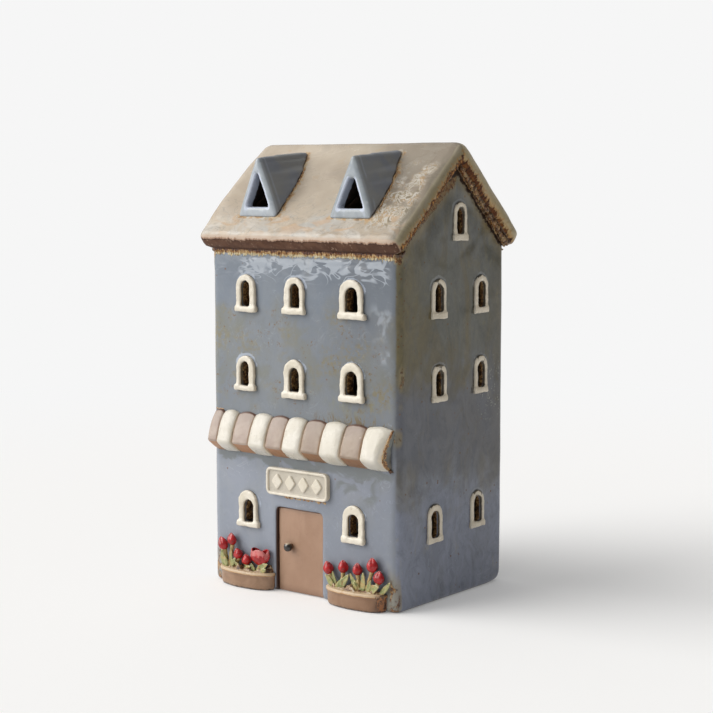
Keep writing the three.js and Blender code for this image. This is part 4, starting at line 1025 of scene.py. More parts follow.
def make_soil():
    m = Mat("soil_clay", roughness=0.5, coat=0.15, coat_rough=0.2)
    n = m.noise(2.0, 5, 0.65, 0.8)
    col = m.ramp(n, (0.34, rgb(58, 34, 20)), (0.45, rgb(112, 74, 44)), (0.53, rgb(168, 134, 92)), (0.60, rgb(206, 188, 156)), (0.70, rgb(196, 192, 184)))
    nrm = m.bump(n, 0.4)
    return m.done(col, 0.45, nrm)


def make_crust():
    m = Mat("crust_glaze", roughness=0.35)
    v = m.v("MULTIPLY", m.P, (1.0, 1.0, 0.45))
    col = crust(m, 0.95, 21, at=v, light=0.04)
    cav = m.attr("cav")
    col = m.mix(m.mul(m.step(cav, 0.01, 0.1), 0.6), col, DARK_BROWN)
    dark = m.attr("dark")
    col = m.mix(m.mul(m.step(m.add(dark, m.mul(m.sub(m.noise_at(v, 1.4, 4, 0.65, shift=6), 0.5), 1.6)), 0.45, 0.65), 0.85), col, rgb(72, 42, 22))
    side = m.step(m.math("ABSOLUTE", m.nx), 0.5, 0.8)
    col = m.mix(m.mul(side, 0.7), col, m.mix(1.0, col, (0.6, 0.58, 0.56, 1), "MULTIPLY"))
    # the fringe under the front eave
    tooth = m.sub(m.noise_at(m.vec(m.x, m.mul(m.z, 0.4), 5.0), 1.1, 4, 0.65, 0.3, shift=9), 0.5)
    front = m.mul(m.step(m.y, -39.4, -39.8), m.step(m.z, 147, 148), m.step(m.z, 156, 155), m.step(m.math("ABSOLUTE", m.x), 52.0, 51.0))
    col = m.mix(front, col, fringe(m, tooth))
    nrm = m.bump(m.noise(0.9, 4, 0.6), 0.2)
    return m.done(col, m.add(0.26, m.mul(m.noise(3, 3, 0.5), 0.2)), nrm)


def make_black():
    m = Mat("black_glaze", roughness=0.12, coat=0.5, coat_rough=0.04)
    col = m.mix(m.step(m.noise(2, 3, 0.5), 0.4, 0.65), rgb(26, 22, 20), rgb(44, 34, 28))
    foot = m.attr("foot")
    col = m.mix(m.step(m.add(foot, m.mul(m.sub(m.noise(1.2, 3, 0.6), 0.5), 0.6)), 0.4, 0.8), col, rgb(128, 92, 64))
    # painted highlight: a pale tan top on the knob
    col = m.mix(m.mul(m.step(m.add(m.z, m.mul(m.sub(m.noise(1.0, 3, 0.6, shift=4), 0.5), 1.2)), 22.4, 22.9), 0.85), col, rgb(198, 178, 150))
    return m.done(col, None, m.bump(m.noise(1.5, 2, 0.5), 0.05))


def make_foil():
    m = Mat("cup_foil", roughness=0.3, metallic=1.0)
    col = m.mix(m.noise(6, 3, 0.5), rgb(206, 208, 210, 1.0), rgb(186, 188, 192, 1.0))
    nrm = m.bump(m.noise(4, 3, 0.5, 1.0), 0.12)
    return m.done(col, m.add(0.22, m.mul(m.noise(3, 3, 0.5, stretch=(1, 1, 4)), 0.2)), nrm)


def make_wax():
    m = Mat("wax", roughness=0.42)
    m.b.inputs["Subsurface Weight"].default_value = 0.3
    m.b.inputs["Subsurface Radius"].default_value = (0.003, 0.0026, 0.002)
    col = m.mix(m.noise(7, 3, 0.5), rgb(240, 236, 224), rgb(230, 224, 210))
    return m.done(col, m.add(0.35, m.mul(m.noise(4, 3, 0.5), 0.2)), m.bump(m.noise(5, 3, 0.5), 0.15))


def make_wick():
    m = Mat("wick", roughness=0.9)
    braid = m.math("SINE", m.add(m.mul(m.z, 5.0), m.mul(m.x, 4.0)))
    col = m.mix(m.step(braid, -0.4, 0.6), rgb(214, 206, 190), rgb(240, 236, 226))
    col = m.mix(m.step(m.z, 22.6, 24.4), col, rgb(226, 216, 190))
    return m.done(col, None, m.bump(braid, 0.12))


BLUE, ROOF, DORMER = make_blue(), make_roof(), make_dormer()
CREAM, STRIPE = make_cream(), make_cream("cream_stripe", (236, 230, 217), 1.44)
MAUVE, DOOR_M, POT = make_mauve(), make_door(), make_pot()
RED, GREEN, SOIL, CRUST, BLACK = make_red(), make_green(), make_soil(), make_crust(), make_black()
FOIL, WAX, WICK = make_foil(), make_wax(), make_wick()


# ------------------------------------------------------------------ roof
def chevron(inset):
    """The roof's outline (y, z), its sides moved in by inset, corners rounded."""
    # outer lines as (point, direction), going round
    low_f = (EAVE_F[0] + IN_F[0] * ROOF_T, EAVE_F[1] + IN_F[1] * ROOF_T)
    low_b = (EAVE_B[0] + IN_B[0] * ROOF_T, EAVE_B[1] + IN_B[1] * ROOF_T)
    sf, sb = UP[1] / UP[0], DOWN[1] / DOWN[0]
    ya = (back_z(0, ROOF_T) - front_z(0, ROOF_T)) / (sf - sb)
    ring = [EAVE_F, low_f, (ya, front_z(ya, ROOF_T)), low_b, EAVE_B, RIDGE]
    n = len(ring)
    area = sum(ring[i][0] * ring[(i + 1) % n][1] - ring[(i + 1) % n][0] * ring[i][1] for i in range(n))
    turn = 1 if area > 0 else -1
    lines = []
    for i in range(n):
        d = unit(ring[i], ring[(i + 1) % n])
        nrm = (-d[1] * turn, d[0] * turn)
        lines.append(((ring[i][0] + nrm[0] * inset, ring[i][1] + nrm[1] * inset), d))
    pts = []
    for i in range(n):
        (p, d), (q, e) = lines[i - 1], lines[i]
        k = d[0] * e[1] - d[1] * e[0]
        t = ((q[0] - p[0]) * e[1] - (q[1] - p[1]) * e[0]) / k
        pts.append((p[0] + d[0] * t, p[1] + d[1] * t))
    radii = [max(0.3, 2.6 - inset), max(0.3, 1.6 - inset), 0.3, max(0.3, 1.6 - inset), max(0.3, 2.6 - inset), max(0.5, 5.0 - inset)]
    return rounded(pts, radii, 4)


def inner_triangle(d, grow=0.0):
    x0, x1, ax, az = d
    z0 = FOOT_Z + 4.2 - grow
    rim = 2.7 - grow

    def side(xf):
        dx, dz = ax - xf, az - FOOT_Z
        l, s = math.hypot(dx, dz), math.copysign(1, dx)
        return (xf + s * rim * dz / l, FOOT_Z - s * rim * dx / l, dx / dz)

    a, b = side(x0), side(x1)
    zt = (b[0] - a[0] + a[2] * a[1] - b[2] * b[1]) / (a[2] - b[2]) - BLUNT[ax]
    return [(p[0] + p[2] * (z - p[1]), z) for p, z in ((a, z0), (b, z0), (b, zt), (a, zt))]


R_END = 3.5
rings = []
for side in (0, 1):
    steps = range(6) if side == 0 else range(5, -1, -1)
    for k in steps:
        t = k / 5 * math.pi / 2
        inset = R_END * (1 - math.sin(t))
        off = R_END * (1 - math.cos(t))
        x = ROOF_X[0] + off if side == 0 else ROOF_X[1] - off
        rings.append([(x, p[0], p[1]) for p in chevron(inset)])
roof = loft(rings)
roof = cut(roof, join(*[prism(inner_triangle(d), "y", FACE_Y + 0.5, 4.0) for d in DORMERS.values()]))
roof = remesh(roof, 0.9, smooth=3)
P, N = co(roof), normals(roof)
depth_f = (P[:, 1] - EAVE_F[0]) * IN_F[0] + (P[:, 2] - EAVE_F[1]) * IN_F[1]
depth_b = (P[:, 1] - EAVE_B[0]) * IN_B[0] + (P[:, 2] - EAVE_B[1]) * IN_B[1]
deep = np.minimum(depth_f, depth_b)
s_f = (P[:, 1] - EAVE_F[0]) * UP[0] + (P[:, 2] - EAVE_F[1]) * UP[1]
s_b = -(P[:, 1] - EAVE_B[0]) * DOWN[0] - (P[:, 2] - EAVE_B[1]) * DOWN[1]
end = np.maximum(smoothstep(ROOF_X[0] + 2.2, ROOF_X[0] + 0.2, P[:, 0]), smoothstep(ROOF_X[1] - 2.2, ROOF_X[1] - 0.2, P[:, 0]))
push = 0.20 + 0.26 * fbm(P, 24, 2, 3) + 0.03 * fbm(P, 6, 2, 5)
rim_edge = end * (1 - np.abs(N[:, 0])) * 2.0
push += end * (0.55 + 0.30 * fbm(P, 9, 2, 9)) + 0.35 * np.clip(rim_edge, 0, 1)
eave = smoothstep(2.5, 0.5, np.minimum(s_f, s_b))
push += eave * (0.15 + 0.28 * fbm(P * [1, 0.2, 0.2], 3.4, 2, 12))
# glaze runs in folds down the front slope
folds = fbm(P * [1.6, 1.0, 1.0] + [0, 0, 40], 7.0, 3, 19)
on_front = smoothstep(2.0, 0.5, depth_f) * (s_f > 2)
push += on_front * smoothstep(184, 168, P[:, 2]) * 0.14 * folds
P = P + N * np.clip(push, -0.5, 1.0)[:, None]
swell = 1.3 * smoothstep(4, 34, s_b) * smoothstep(61, 50, s_b) * smoothstep(30, 52, P[:, 0]) * (depth_b < depth_f) * smoothstep(6.5, 3.0, depth_b)
P[:, 1] -= IN_B[0] * swell
P[:, 2] -= IN_B[1] * swell
swell = 1.5 * smoothstep(3, 22, s_f) * smoothstep(62, 46, s_f) * smoothstep(-40, -53, P[:, 0]) * (depth_f <= depth_b) * smoothstep(6.5, 3.0, depth_f)
P[:, 1] -= IN_F[0] * swell
P[:, 2] -= IN_F[1] * swell
spread = smoothstep(42, 54, P[:, 0]) * smoothstep(34, 10, s_b) * (depth_b < depth_f)
P[:, 0] += 0.7 * spread
P[:, 1] += 1.2 * spread
P[:, 2] += 0.75 * np.exp(-((P[:, 1] - RIDGE[0]) / 5.5) ** 2) * smoothstep(4, 1, deep)
set_co(roof, P)
cavity(roof)
near = np.zeros(len(P))
for n, d in DORMERS.items():
    t = bvh(node_mesh(n))
    dist = distance(t, P, 9.0, (deep < 1.8) & (P[:, 0] > d[0] - 9) & (P[:, 0] < d[1] + 12) & (P[:, 1] < 0))
    right = smoothstep(-2, 4, P[:, 0] - d[2])
    near = np.maximum(near, smoothstep(6.0, 0.3, dist) * (0.30 + 0.35 * right) + 0.7 * smoothstep(1.3, 0.1, dist))
put(roof, "near_dormer", np.clip(near, 0, 1.3) * (deep < 1.8))
hidden = (deep > ROOF_T - 1.0) & (np.abs(P[:, 0]) < HALF_W - 3) & (s_f > 9) & (s_b > 9)
for x0, x1, ax, az in DORMERS.values():
    low = FOOT_Z + 5.4
    top = az - 2.0
    half = np.where(P[:, 0] < ax, ax - x0, x1 - ax) * (az - P[:, 2]) / (az - FOOT_Z) - 1.2
    hidden |= (np.abs(P[:, 0] - ax) < half) & (P[:, 2] < top) & (P[:, 1] > FACE_Y + 2.5) & (P[:, 1] < 5) & (depth_f > -0.8)
put(roof, "inner", hidden.astype(float))
roof_tree = bvh(roof)
piece("roof_glazed", roof, ROOF, ["roof"])

# ------------------------------------------------------------------ walls and base slab
def plan(inset, z):
    r = max(CORNER_R - inset, 0.6)
    hx, hy = HALF_W - inset, HALF_D - inset
    return [(p[0], p[1], z) for p in rounded([(-hx, -hy), (hx, -hy), (hx, hy), (-hx, hy)], r, 8)]


rings = []
for k in range(7):
    t = k / 6 * math.pi / 2
    rings.append(plan(1.7 * (1 - math.sin(t)), 1.7 * (1 - math.cos(t))))
rings.append(plan(0, 215.0))
shell = loft(rings)
D0 = 7.6
sf, sb = UP[1] / UP[0], DOWN[1] / DOWN[0]
ya = (back_z(0, D0) - front_z(0, D0)) / (sf - sb)
lid = prism(
    [(-60, front_z(-60, D0)), (ya, front_z(ya, D0)), (60, back_z(60, D0)), (60, 260), (-60, 260)], "x", -70, 70
)
shell = cut(shell, lid)
hollow = prism([(-47.3, -34.3), (47.3, -34.3), (47.3, 34.3), (-47.3, 34.3)], "z", FLOOR_TOP, 240)
holes = [hollow]
for _, a0, a1, b0, b1 in FRONT_WINDOWS:
    holes.append(prism(arch2(a0, a1, b0, b1), "y", -46, -33.9))
for _, a0, a1, b0, b1 in SIDE_WINDOWS:
    holes.append(prism(arch2(a0, a1, b0, b1), "x", 46.9, 58))
    holes.append(prism(arch2(a0, a1, b0, b1), "x", -58, -46.9))
holes.append(prism(arch2(-30, 30, FLOOR_TOP + 0.02, 84, 24), "y", 33.9, 46))
holes.append(prism(rounded([(DOOR[0], -2), (DOOR[1], -2), (DOOR[1], DOOR[3] + 0.2), (DOOR[0], DOOR[3] + 0.2)], [0.2, 0.2, 1.6, 1.6], 4), "y", -46, -HALF_D + 4.1))
for h in holes:
    shell = cut(shell, h)
shell = remesh(shell, 0.95, smooth=3)


def wall_depth(p):
    """Depth below the outer faces of the walls, round the corners too."""
    qx, qy = np.abs(p[:, 0]) - (HALF_W - CORNER_R), np.abs(p[:, 1]) - (HALF_D - CORNER_R)
    return CORNER_R - np.where((qx > 0) & (qy > 0), np.hypot(qx, qy), np.maximum(qx, qy))


P = co(shell)
outer = wall_depth(P)
shell = thin_out(shell, (outer > 2.2) & (P[:, 2] > 2.0), 0.66)
P, N = co(shell), normals(shell)
outer = wall_depth(P)
skin = smoothstep(1.6, 0.4, outer)
calm = 1.0 - smoothstep(3.0, 1.0, P[:, 2])
push = (0.14 + 0.30 * fbm(P, 30, 2, 1) + 0.04 * fbm(P, 10, 2, 4)) * skin * calm
is_front = (N[:, 1] < -0.6).astype(float)
is_side = (np.abs(N[:, 0]) > 0.6).astype(float)
# glaze has run into folds under the eave, over the right part of the front and low on the sides
runs = fbm(P * [1.7, 1.7, 1.0], 6.0, 3, 14)
push += skin * is_front * smoothstep(140, 147, P[:, 2]) * (0.10 + 0.30 * runs)
push += skin * is_front * 0.14 * runs * smoothstep(20, 36, P[:, 0]) * smoothstep(135, 120, P[:, 2])
push += skin * is_side * 0.05 * fbm(P * [1, 1, 0.5], 12.0, 2, 16)
P = P + N * np.clip(push, -0.5, 0.65)[:, None]
P[:, 2] = np.maximum(P[:, 2], 0.0)
qx, qy = P[:, 0] - (HALF_W - 12), P[:, 1] - (HALF_D - 12)
far_corner = smoothstep(0, 12, qx) * smoothstep(0, 12, qy) * (outer < 5)
lift = np.clip((6.0 - P[:, 2]) / 6.0, 0, 1)
drawn = 3.4 * (1 - np.sqrt(1 - lift ** 2)) * far_corner
P[:, 0] -= drawn * 0.7
P[:, 1] -= drawn * 0.7
set_co(shell, P)
cavity(shell)
in_door = (P[:, 0] > DOOR[0] - 1) & (P[:, 0] < DOOR[1] + 1) & (P[:, 2] < DOOR[3] + 1.5) & (P[:, 1] < -35.3)
put(shell, "inner", smoothstep(0.15, 0.55, outer) * (~in_door) * (P[:, 2] > 5.6))
# front right corner, on the gable side, in patches
burn = 0.66 * np.exp(-((np.abs(P[:, 1]) - 37.6) / 1.7) ** 2) * is_side * (P[:, 1] < 0) * (
    smoothstep(82, 92, P[:, 2]) * smoothstep(132, 108, P[:, 2]) * 0.86 + 0.30 * smoothstep(110, 120, P[:, 2])
)
burn *= smoothstep(-0.12, 0.12, perlin(P * [1, 1, 0.6] + 7.0, 9.0, 6))
# right of the right planter, up the corner
low = smoothstep(24, 8, P[:, 2]) * smoothstep(47.0, 48.6, np.abs(P[:, 0])) * smoothstep(-36.6, -38.4, P[:, 1])
burn = np.maximum(burn, low * 0.62)
# where the awning ends at the corner
burn = np.maximum(burn, 0.50 * np.exp(-((P[:, 2] - 75) / 5) ** 2) * smoothstep(49.5, 51, np.abs(P[:, 0])) * smoothstep(-36.0, -38.4, P[:, 1]))
# top front corner, under the roof
burn = np.maximum(burn, 0.9 * smoothstep(147.5, 151, P[:, 2]) * smoothstep(-35.5, -38.6, P[:, 1]) * smoothstep(50.0, 51.5, np.abs(P[:, 0])))
put(shell, "burn", burn)
shell_tree = bvh(shell)

# ------------------------------------------------------------------ window surrounds
halo = np.zeros(len(P))
surround_meshes = []


def surround_piece(node, cx, cz, top_z, along):
    me = remesh(node_mesh(node), 0.40, smooth=14)
    p, n = co(me), normals(me)
    p = p + n * (0.36 * fbm(p, 4.4, 2, 21) + 0.15 * fbm(p, 1.7, 2, 22) + 0.12)[:, None]
    set_co(me, p)
    cavity(me, 8)
    return me


for side, table in (("front", FRONT_WINDOWS), ("right", SIDE_WINDOWS), ("left", SIDE_WINDOWS)):
    for row in table:
        node = f"surround_{side}_{row[0]}"
        me = surround_piece(node, 0, 0, 0, 0)
        p = co(me)
        if side == "front":
            off = -HALF_D - p[:, 1]
            a, b = p[:, 0], p[:, 2]
            A, B, face = P[:, 0], P[:, 2], (N[:, 1] < -0.6)
        elif side == "right":
            off = p[:, 0] - HALF_W
            a, b = p[:, 1], p[:, 2]
            A, B, face = P[:, 1], P[:, 2], (N[:, 0] > 0.6)
        else:
            off = -p[:, 0] - HALF_W
            a, b = p[:, 1], p[:, 2]
            A, B, face = P[:, 1], P[:, 2], (N[:, 0] < -0.6)
        c, h = (row[1] + row[2]) / 2, (row[2] - row[1]) / 2
        if side != "front":
            sgn = 1 if side == "right" else -1
            p[:, 0] = sgn * (HALF_W + np.where(off > 0, off * 0.62, off))
            wide = np.abs(a - c) - (h + 2.1)
            p[:, 1] = np.where(wide > 0, c + np.sign(a - c) * (h + 2.1 + wide * 0.45), p[:, 1])
            set_co(me, p)
            off = off * 0.62
        # inside edge of the frame, deep in the hole
        edge = np.minimum(np.abs(a - c) - h, 9)
        put(me, "inner", smoothstep(0.9, 0.2, edge) * (smoothstep(1.5, 0.7, off) if side == "front" else smoothstep(1.3, 0.8, off)))
        put(me, "foot", smoothstep(0.6, 0.0, off))
        spring = row[4] - h
        r = np.hypot(A - c, np.maximum(B - spring, 0))
        ring = smoothstep(h + 4.6, h + 3.0, r) * smoothstep(h + 1.0, h + 2.0, r) * smoothstep(spring - 2, spring + 2.5, B)
        halo = np.maximum(halo, ring * face * (outer < 1.2))
        surround_meshes.append((node, me))
put(shell, "halo", halo)
piece("walls_glazed", shell, BLUE, ["base_slab", "front_wall", "back_wall", "left_gable_wall", "right_gable_wall"])
for node, me in surround_meshes:
    piece(node + "_glazed", me, CREAM, [node])

# ------------------------------------------------------------------ dormers
for n, d in DORMERS.items():
    me = remesh(node_mesh(n), 0.5, smooth=18)
    p = co(me)
    x0, x1, ax, az = d
    half = np.where(p[:, 0] < ax, ax - x0, x1 - ax)
    slant = half * (az - p[:, 2]) / (az - FOOT_Z) - np.abs(p[:, 0] - ax)  # 0 on the outer faces
    ridge = np.hypot(p[:, 0] - ax, p[:, 2] - (az - 0.4 + 0.0 * p[:, 1]))
    relax(me, np.maximum(smoothstep(4.2, 2.0, ridge) * (p[:, 1] < FACE_Y + 14), 0.8 * smoothstep(1.6, 0.7, slant) * smoothstep(FACE_Y + 2.2, FACE_Y + 1.0, p[:, 1])), 34)
    p, nn = co(me), normals(me)
    push = 0.30 + 0.5 * smoothstep(4.0, 1.5, ridge) + 0.14 * fbm(p, 9, 2, 31) + 0.02 * fbm(p, 3, 2, 32)
    p = p + nn * push[:, None]
    set_co(me, p)
    piece(n + "_glazed", me, DORMER, [n])

# ------------------------------------------------------------------ crusts of run glaze
def bead(name, path, radius, seed, squash=(1, 1, 1), sag=0.0, dark=0.5, rough=1.0):
    """A lumpy bead along a path of points: a tube of uneven girth, with small runs downwards."""
    path = [Vector(p) for p in path]
    lengths = [0.0]
    for a, b in zip(path, path[1:]):
        lengths.append(lengths[-1] + (b - a).length)
    total = lengths[-1]
    count = max(8, int(total / 0.3))
    pts = []
    j = 0
    for k in range(count + 1):
        s = total * k / count
        while j < len(lengths) - 2 and lengths[j + 1] < s:
            j += 1
        t = (s - lengths[j]) / max(1e-6, lengths[j + 1] - lengths[j])
        pts.append(path[j].lerp(path[j + 1], t))
    pts = np.array([tuple(p) for p in pts])
    tan = np.gradient(pts, axis=0)
    tan /= np.linalg.norm(tan, axis=1)[:, None]
    up = np.array([0, 0, 1.0])
    side = np.cross(tan, up)
    side /= np.maximum(1e-6, np.linalg.norm(side, axis=1))[:, None]
    upp = np.cross(side, tan)
    s = np.linspace(0, total, count + 1)
    line = np.stack([s, np.full_like(s, seed * 3.3), np.zeros_like(s)], 1)
    girth = radius * np.clip(0.74 + 0.5 * rough * perlin(line, 3.1, seed) + 0.75 * rough * perlin(line, 0.95, seed + 1), 0.22, 1.7)
    ends = np.minimum(1, np.minimum(s, total - s) / 1.5 + 0.15)
    girth *= ends
    runs = np.clip(0.25 + perlin(line, 1.1, seed + 2) * 1.8 + perlin(line, 0.6, seed + 3), 0, 1) * sag
    rings = []
    m = 10
    for i in range(count + 1):
        ring = []
        for q in range(m):
            a = 2 * math.pi * q / m
            c, sn = math.cos(a), math.sin(a)
            off = side[i] * c * girth[i] + upp[i] * sn * girth[i]
            off = off * np.array(squash)
            v = pts[i] + off
            if sn < 0:
                v = v + np.array([0, 0, -1.0]) * runs[i] * (-sn) ** 1.5 * ends[i]
            ring.append(v)
        rings.append(ring)
    me = loft(rings)
    p = co(me)
    p = p + normals(me) * (0.22 * radius * fbm(p, 1.2, 2, seed + 5))[:, None]
    set_co(me, p)
    cavity(me, 3, 2.0)
    put(me, "dark", np.full(len(p), dark))
    return piece(name, me, CRUST)


def eave_line(side):
    y = -HALF_D - 0.15 if side < 0 else HALF_D + 0.15
    z = 153.2 if side < 0 else back_z(y, ROOF_T) - 0.7
    return [(x, y, z) for x in (-52.2, -20, 20, 52.2)]


bead("crust_eave_front", eave_line(-1), 0.85, 3, squash=(1, 0.8, 1.3), sag=2.0, dark=0.2)
bead("crust_eave_back", eave_line(1), 0.8, 5, squash=(1, 0.8, 1.1), sag=0.8, dark=0.45)
ya = (back_z(0, ROOF_T) - front_z(0, ROOF_T)) / (sf - sb)
for tag, x in (("right", HALF_W + 0.15), ("left", -HALF_W - 0.15)):
    line = [(x, -39.6, front_z(-39.6, ROOF_T + 0.2)), (x, ya, front_z(ya, ROOF_T + 0.2))]
    bead(f"crust_verge_{tag}_front", line, 0.95, 7 if x > 0 else 17, squash=(1.0, 1, 1), sag=0.9, dark=0.45)
    line = [(x, ya, back_z(ya, ROOF_T + 0.2)), (x, 39.6, back_z(39.6, ROOF_T + 0.2))]
    bead(f"crust_verge_{tag}_back", line, 0.9, 9 if x > 0 else 19, squash=(1.0, 1, 1), sag=0.5, dark=0.6)
    # charred clay packed under the overhang of the back slope
    xo = x + (1.75 if x > 0 else -0.6)
    ye = EAVE_B[0] + IN_B[0] * ROOF_T
    line = [(xo, ya + 0.6, back_z(ya + 0.6, ROOF_T + 0.1)), (xo, ye - 0.8, back_z(ye - 0.8, ROOF_T + 0.1))]
    bead(f"crust_overhang_{tag}", line, 1.35, 47 if x > 0 else 49, squash=(1.25, 1, 1), sag=0.4, dark=0.55)
    # a blob at the corner of the wall under the eave
    bead(f"crust_corner_{tag}", [(x * 0.94, -HALF_D, 153.4), (x * 0.975, -39.4, 153.0), (x * 0.995, -37.4, 153.4), (x * 0.995, -35.5, 155.0)], 1.0, 13 if x > 0 else 15, sag=0.9, dark=0.8)
SEAMS = {
    "dormer_left": [(-17.0, 169.8), (-17.4, 176.0), (-17.9, 181.5), (-18.8, 186.0), (-21.4, 190.8), (-25.2, 195.3)],
    "dormer_right": [(38.0, 171.2), (36.5, 176.4), (36.1, 179.9), (34.3, 184.5), (31.8, 189.9), (29.1, 194.3)],
}
for n, d in DORMERS.items():
    x0, x1, ax, az = d
    right = SEAMS[n]
    left = [(ax - (x - ax) * (ax - x0) / (x1 - ax), z) for x, z in right]
    for tag, row in (("right", right), ("left", left)):
        path = [(x, (z - EAVE_F[1]) * UP[0] / UP[1] + EAVE_F[0] - 0.05, z + 0.05) for x, z in row[:-1]]
        bead(f"crust_{n}_{tag}", path, 0.62, 23 if "left" in n else 29, dark=0.30)
bead("crust_sign", [(SIGN[0] + 8, -HALF_D - 0.1, SIGN[2] - 0.9), (SIGN[1] - 1.5, -HALF_D - 0.1, SIGN[2] - 0.9)], 0.6, 37, squash=(1, 0.6, 1.1), sag=0.4, dark=0.3)
bead("crust_awning_left", [(-51.4, -HALF_D + 0.3, 80.0), (-45.6, -HALF_D - 0.1, 80.0)], 0.55, 43, dark=0.3)

# ------------------------------------------------------------------ awning
PROFILE = [(0.0, 79.8), (1.5, 79.4), (3.2, 77.2), (4.8, 74.0), (6.1, 70.4), (6.95, 67.4), (7.1, 66.5), (6.5, 65.5), (4.4, 63.7), (2.2, 62.2), (0.0, 61.2)]


def spline(points, n):
    """Catmull-Rom through the points, evenly sampled."""
    p = np.array(points, float)
    p = np.vstack([2 * p[0] - p[1], p, 2 * p[-1] - p[-2]])
    out = []
    for i in range(1, len(p) - 2):
        for t in np.linspace(0, 1, 12, endpoint=False):
            a, b, c, d = p[i - 1], p[i], p[i + 1], p[i + 2]
            out.append(0.5 * ((2 * b) + (c - a) * t + (2 * a - 5 * b + 4 * c - d) * t * t + (3 * b - a - 3 * c + d) * t ** 3))
    out.append(p[-2])
    out = np.array(out)
    s = np.r_[0, np.cumsum(np.linalg.norm(np.diff(out, axis=0), axis=1))]
    u = np.linspace(0, s[-1], n)
    return np.stack([np.interp(u, s, out[:, k]) for k in range(out.shape[1])], 1)


for i in range(10):
    cream = i % 2 == 1
    x0, x1 = AWNING_X[i] + (0.05 if cream else 0.25), AWNING_X[i + 1] - (0.05 if cream else 0.25)
    if cream:
        x0, x1 = x0 - 0.25, x1 + 0.25
    last_one = i == 9
    if last_one:
        x1 = 51.0
    prof = spline(PROFILE, 44)
    tang = np.gradient(prof, axis=0)
    tang /= np.linalg.norm(tang, axis=1)[:, None]
    nrm2 = np.stack([-tang[:, 1], tang[:, 0]], 1)  # outward: away from the wall
    nu, nv = len(prof), 17
    verts, under, edge = [], [], []
    for a in range(nu):
        u = a / (nu - 1)
        for b in range(nv):
            v = b / (nv - 1)
            w = 2 * v - 1
            ends = math.sin(min(1, u / 0.12) * math.pi / 2) * math.sin(min(1, (1 - u) / 0.10) * math.pi / 2)
            crown = (1 - abs(w) ** (3.4 if cream else 5.0))
            h = (0.75 if cream else 0.30) * crown - (0.15 if cream else 0.50)
            out = prof[a, 0] + nrm2[a, 0] * h * ends
            if last_one:
                out *= 1 - 0.30 * max(0.0, (w - 0.1) / 0.9) ** 2.2
            z = prof[a, 1] + nrm2[a, 1] * h * ends
            # scalloped top edge
            z += (1 - u) ** 3 * (1.1 * (1 - w * w) - 0.7)
            # sides drawn in a little at the corners
            x = (x0 + x1) / 2 + (x1 - x0) / 2 * w * (1 - 0.03 * (1 - ends))
            if last_one:
                x -= 2.3 * float(smoothstep(0.05, 0.6, u)) * max(0.0, w) ** 1.5
            verts.append((x, -HALF_D - max(out, 0.02 if 0 < a < nu - 1 else 0.0), z))
            under.append(float(smoothstep(0.655, 0.70, u)))
            edge.append(float(smoothstep(0.12, 0.03, u)) + float(smoothstep(0.90, 1.0, abs(w))) * 0.6)
    base = len(verts)
    for a in range(nu):  # edges carried back into the wall
        for b in (0, nv - 1):
            verts.append((52.0 if last_one and b else verts[a * nv + b][0], -HALF_D + (2.4 if last_one and b else 0.5), verts[a * nv + b][2]))
            under.append(0.0)
            edge.append(1.0)
    faces = []
    for a in range(nu - 1):
        for b in range(nv - 1):
            q = a * nv + b
            faces.append((q, q + 1, q + nv + 1, q + nv))
        faces.append((a * nv, (a + 1) * nv, base + (a + 1) * 2, base + a * 2))
        r = a * nv + nv - 1
        faces.append((r, base + a * 2 + 1, base + (a + 1) * 2 + 1, r + nv))
        faces.append((base + a * 2, base + (a + 1) * 2, base + (a + 1) * 2 + 1, base + a * 2 + 1))
    faces.append(tuple([base, base + 1] + list(range(nv - 1, -1, -1))))
    last = (nu - 1) * nv
    faces.append(tuple([base + (nu - 1) * 2 + 1, base + (nu - 1) * 2] + list(range(last, last + nv))))
    me = new_mesh("stripe", verts, faces)
    bm = bmesh.new()
    bm.from_mesh(me)
    bmesh.ops.recalc_face_normals(bm, faces=bm.faces)
    bm.to_mesh(me)
    bm.free()
    put(me, "under", under)
    put(me, "edge", edge)
    put(me, "endface", [(1.0 if q >= base and (q - base) % 2 else 0.5 if q < base and q % nv == nv - 1 else 0.0) if last_one else 0.0 for q in range(len(verts))])
    me = apply(me, ("SUBSURF", {"levels": 1, "render_levels": 1}))
    p, n = co(me), normals(me)
    front = smoothstep(0.2, 1.0, -HALF_D - p[:, 1])
    p = p + n * (front * (0.16 * fbm(p, 5.0, 2, 51 + i) + 0.05 * fbm(p, 1.8, 2, 52)))[:, None]
    set_co(me, p)
    cavity(me, 8)
    foot = 0.8 * smoothstep(0.5, 0.0, -HALF_D - p[:, 1])
    if last_one:
        over = np.empty(len(me.vertices), np.float32)
        me.attributes["endface"].data.foreach_get("value", over)
        foot = foot * smoothstep(0.3, 0.1, over)
        rim = [verts[a * nv + nv - 1] for a in range(1, nu - 3, 3)]
    put(me, "foot", foot)
    node = f"awning_stripe_{i + 1:02d}"
    piece(node + "_glazed", me, STRIPE if cream else MAUVE, [node], sharp=50)
bead("crust_awning_right", rim, 0.55, 41, squash=(1, 1, 1), sag=0.3, dark=0.15)
fx, fy, fz = rim[-1]
bead("crust_awning_foot", [(fx - 0.3, fy + 0.6, fz), (fx + 1.0, (fy - HALF_D) / 2, fz - 0.3), (fx + 2.6, -HALF_D - 0.3, fz - 0.7)], 0.9, 45, sag=0.6, dark=0.9)

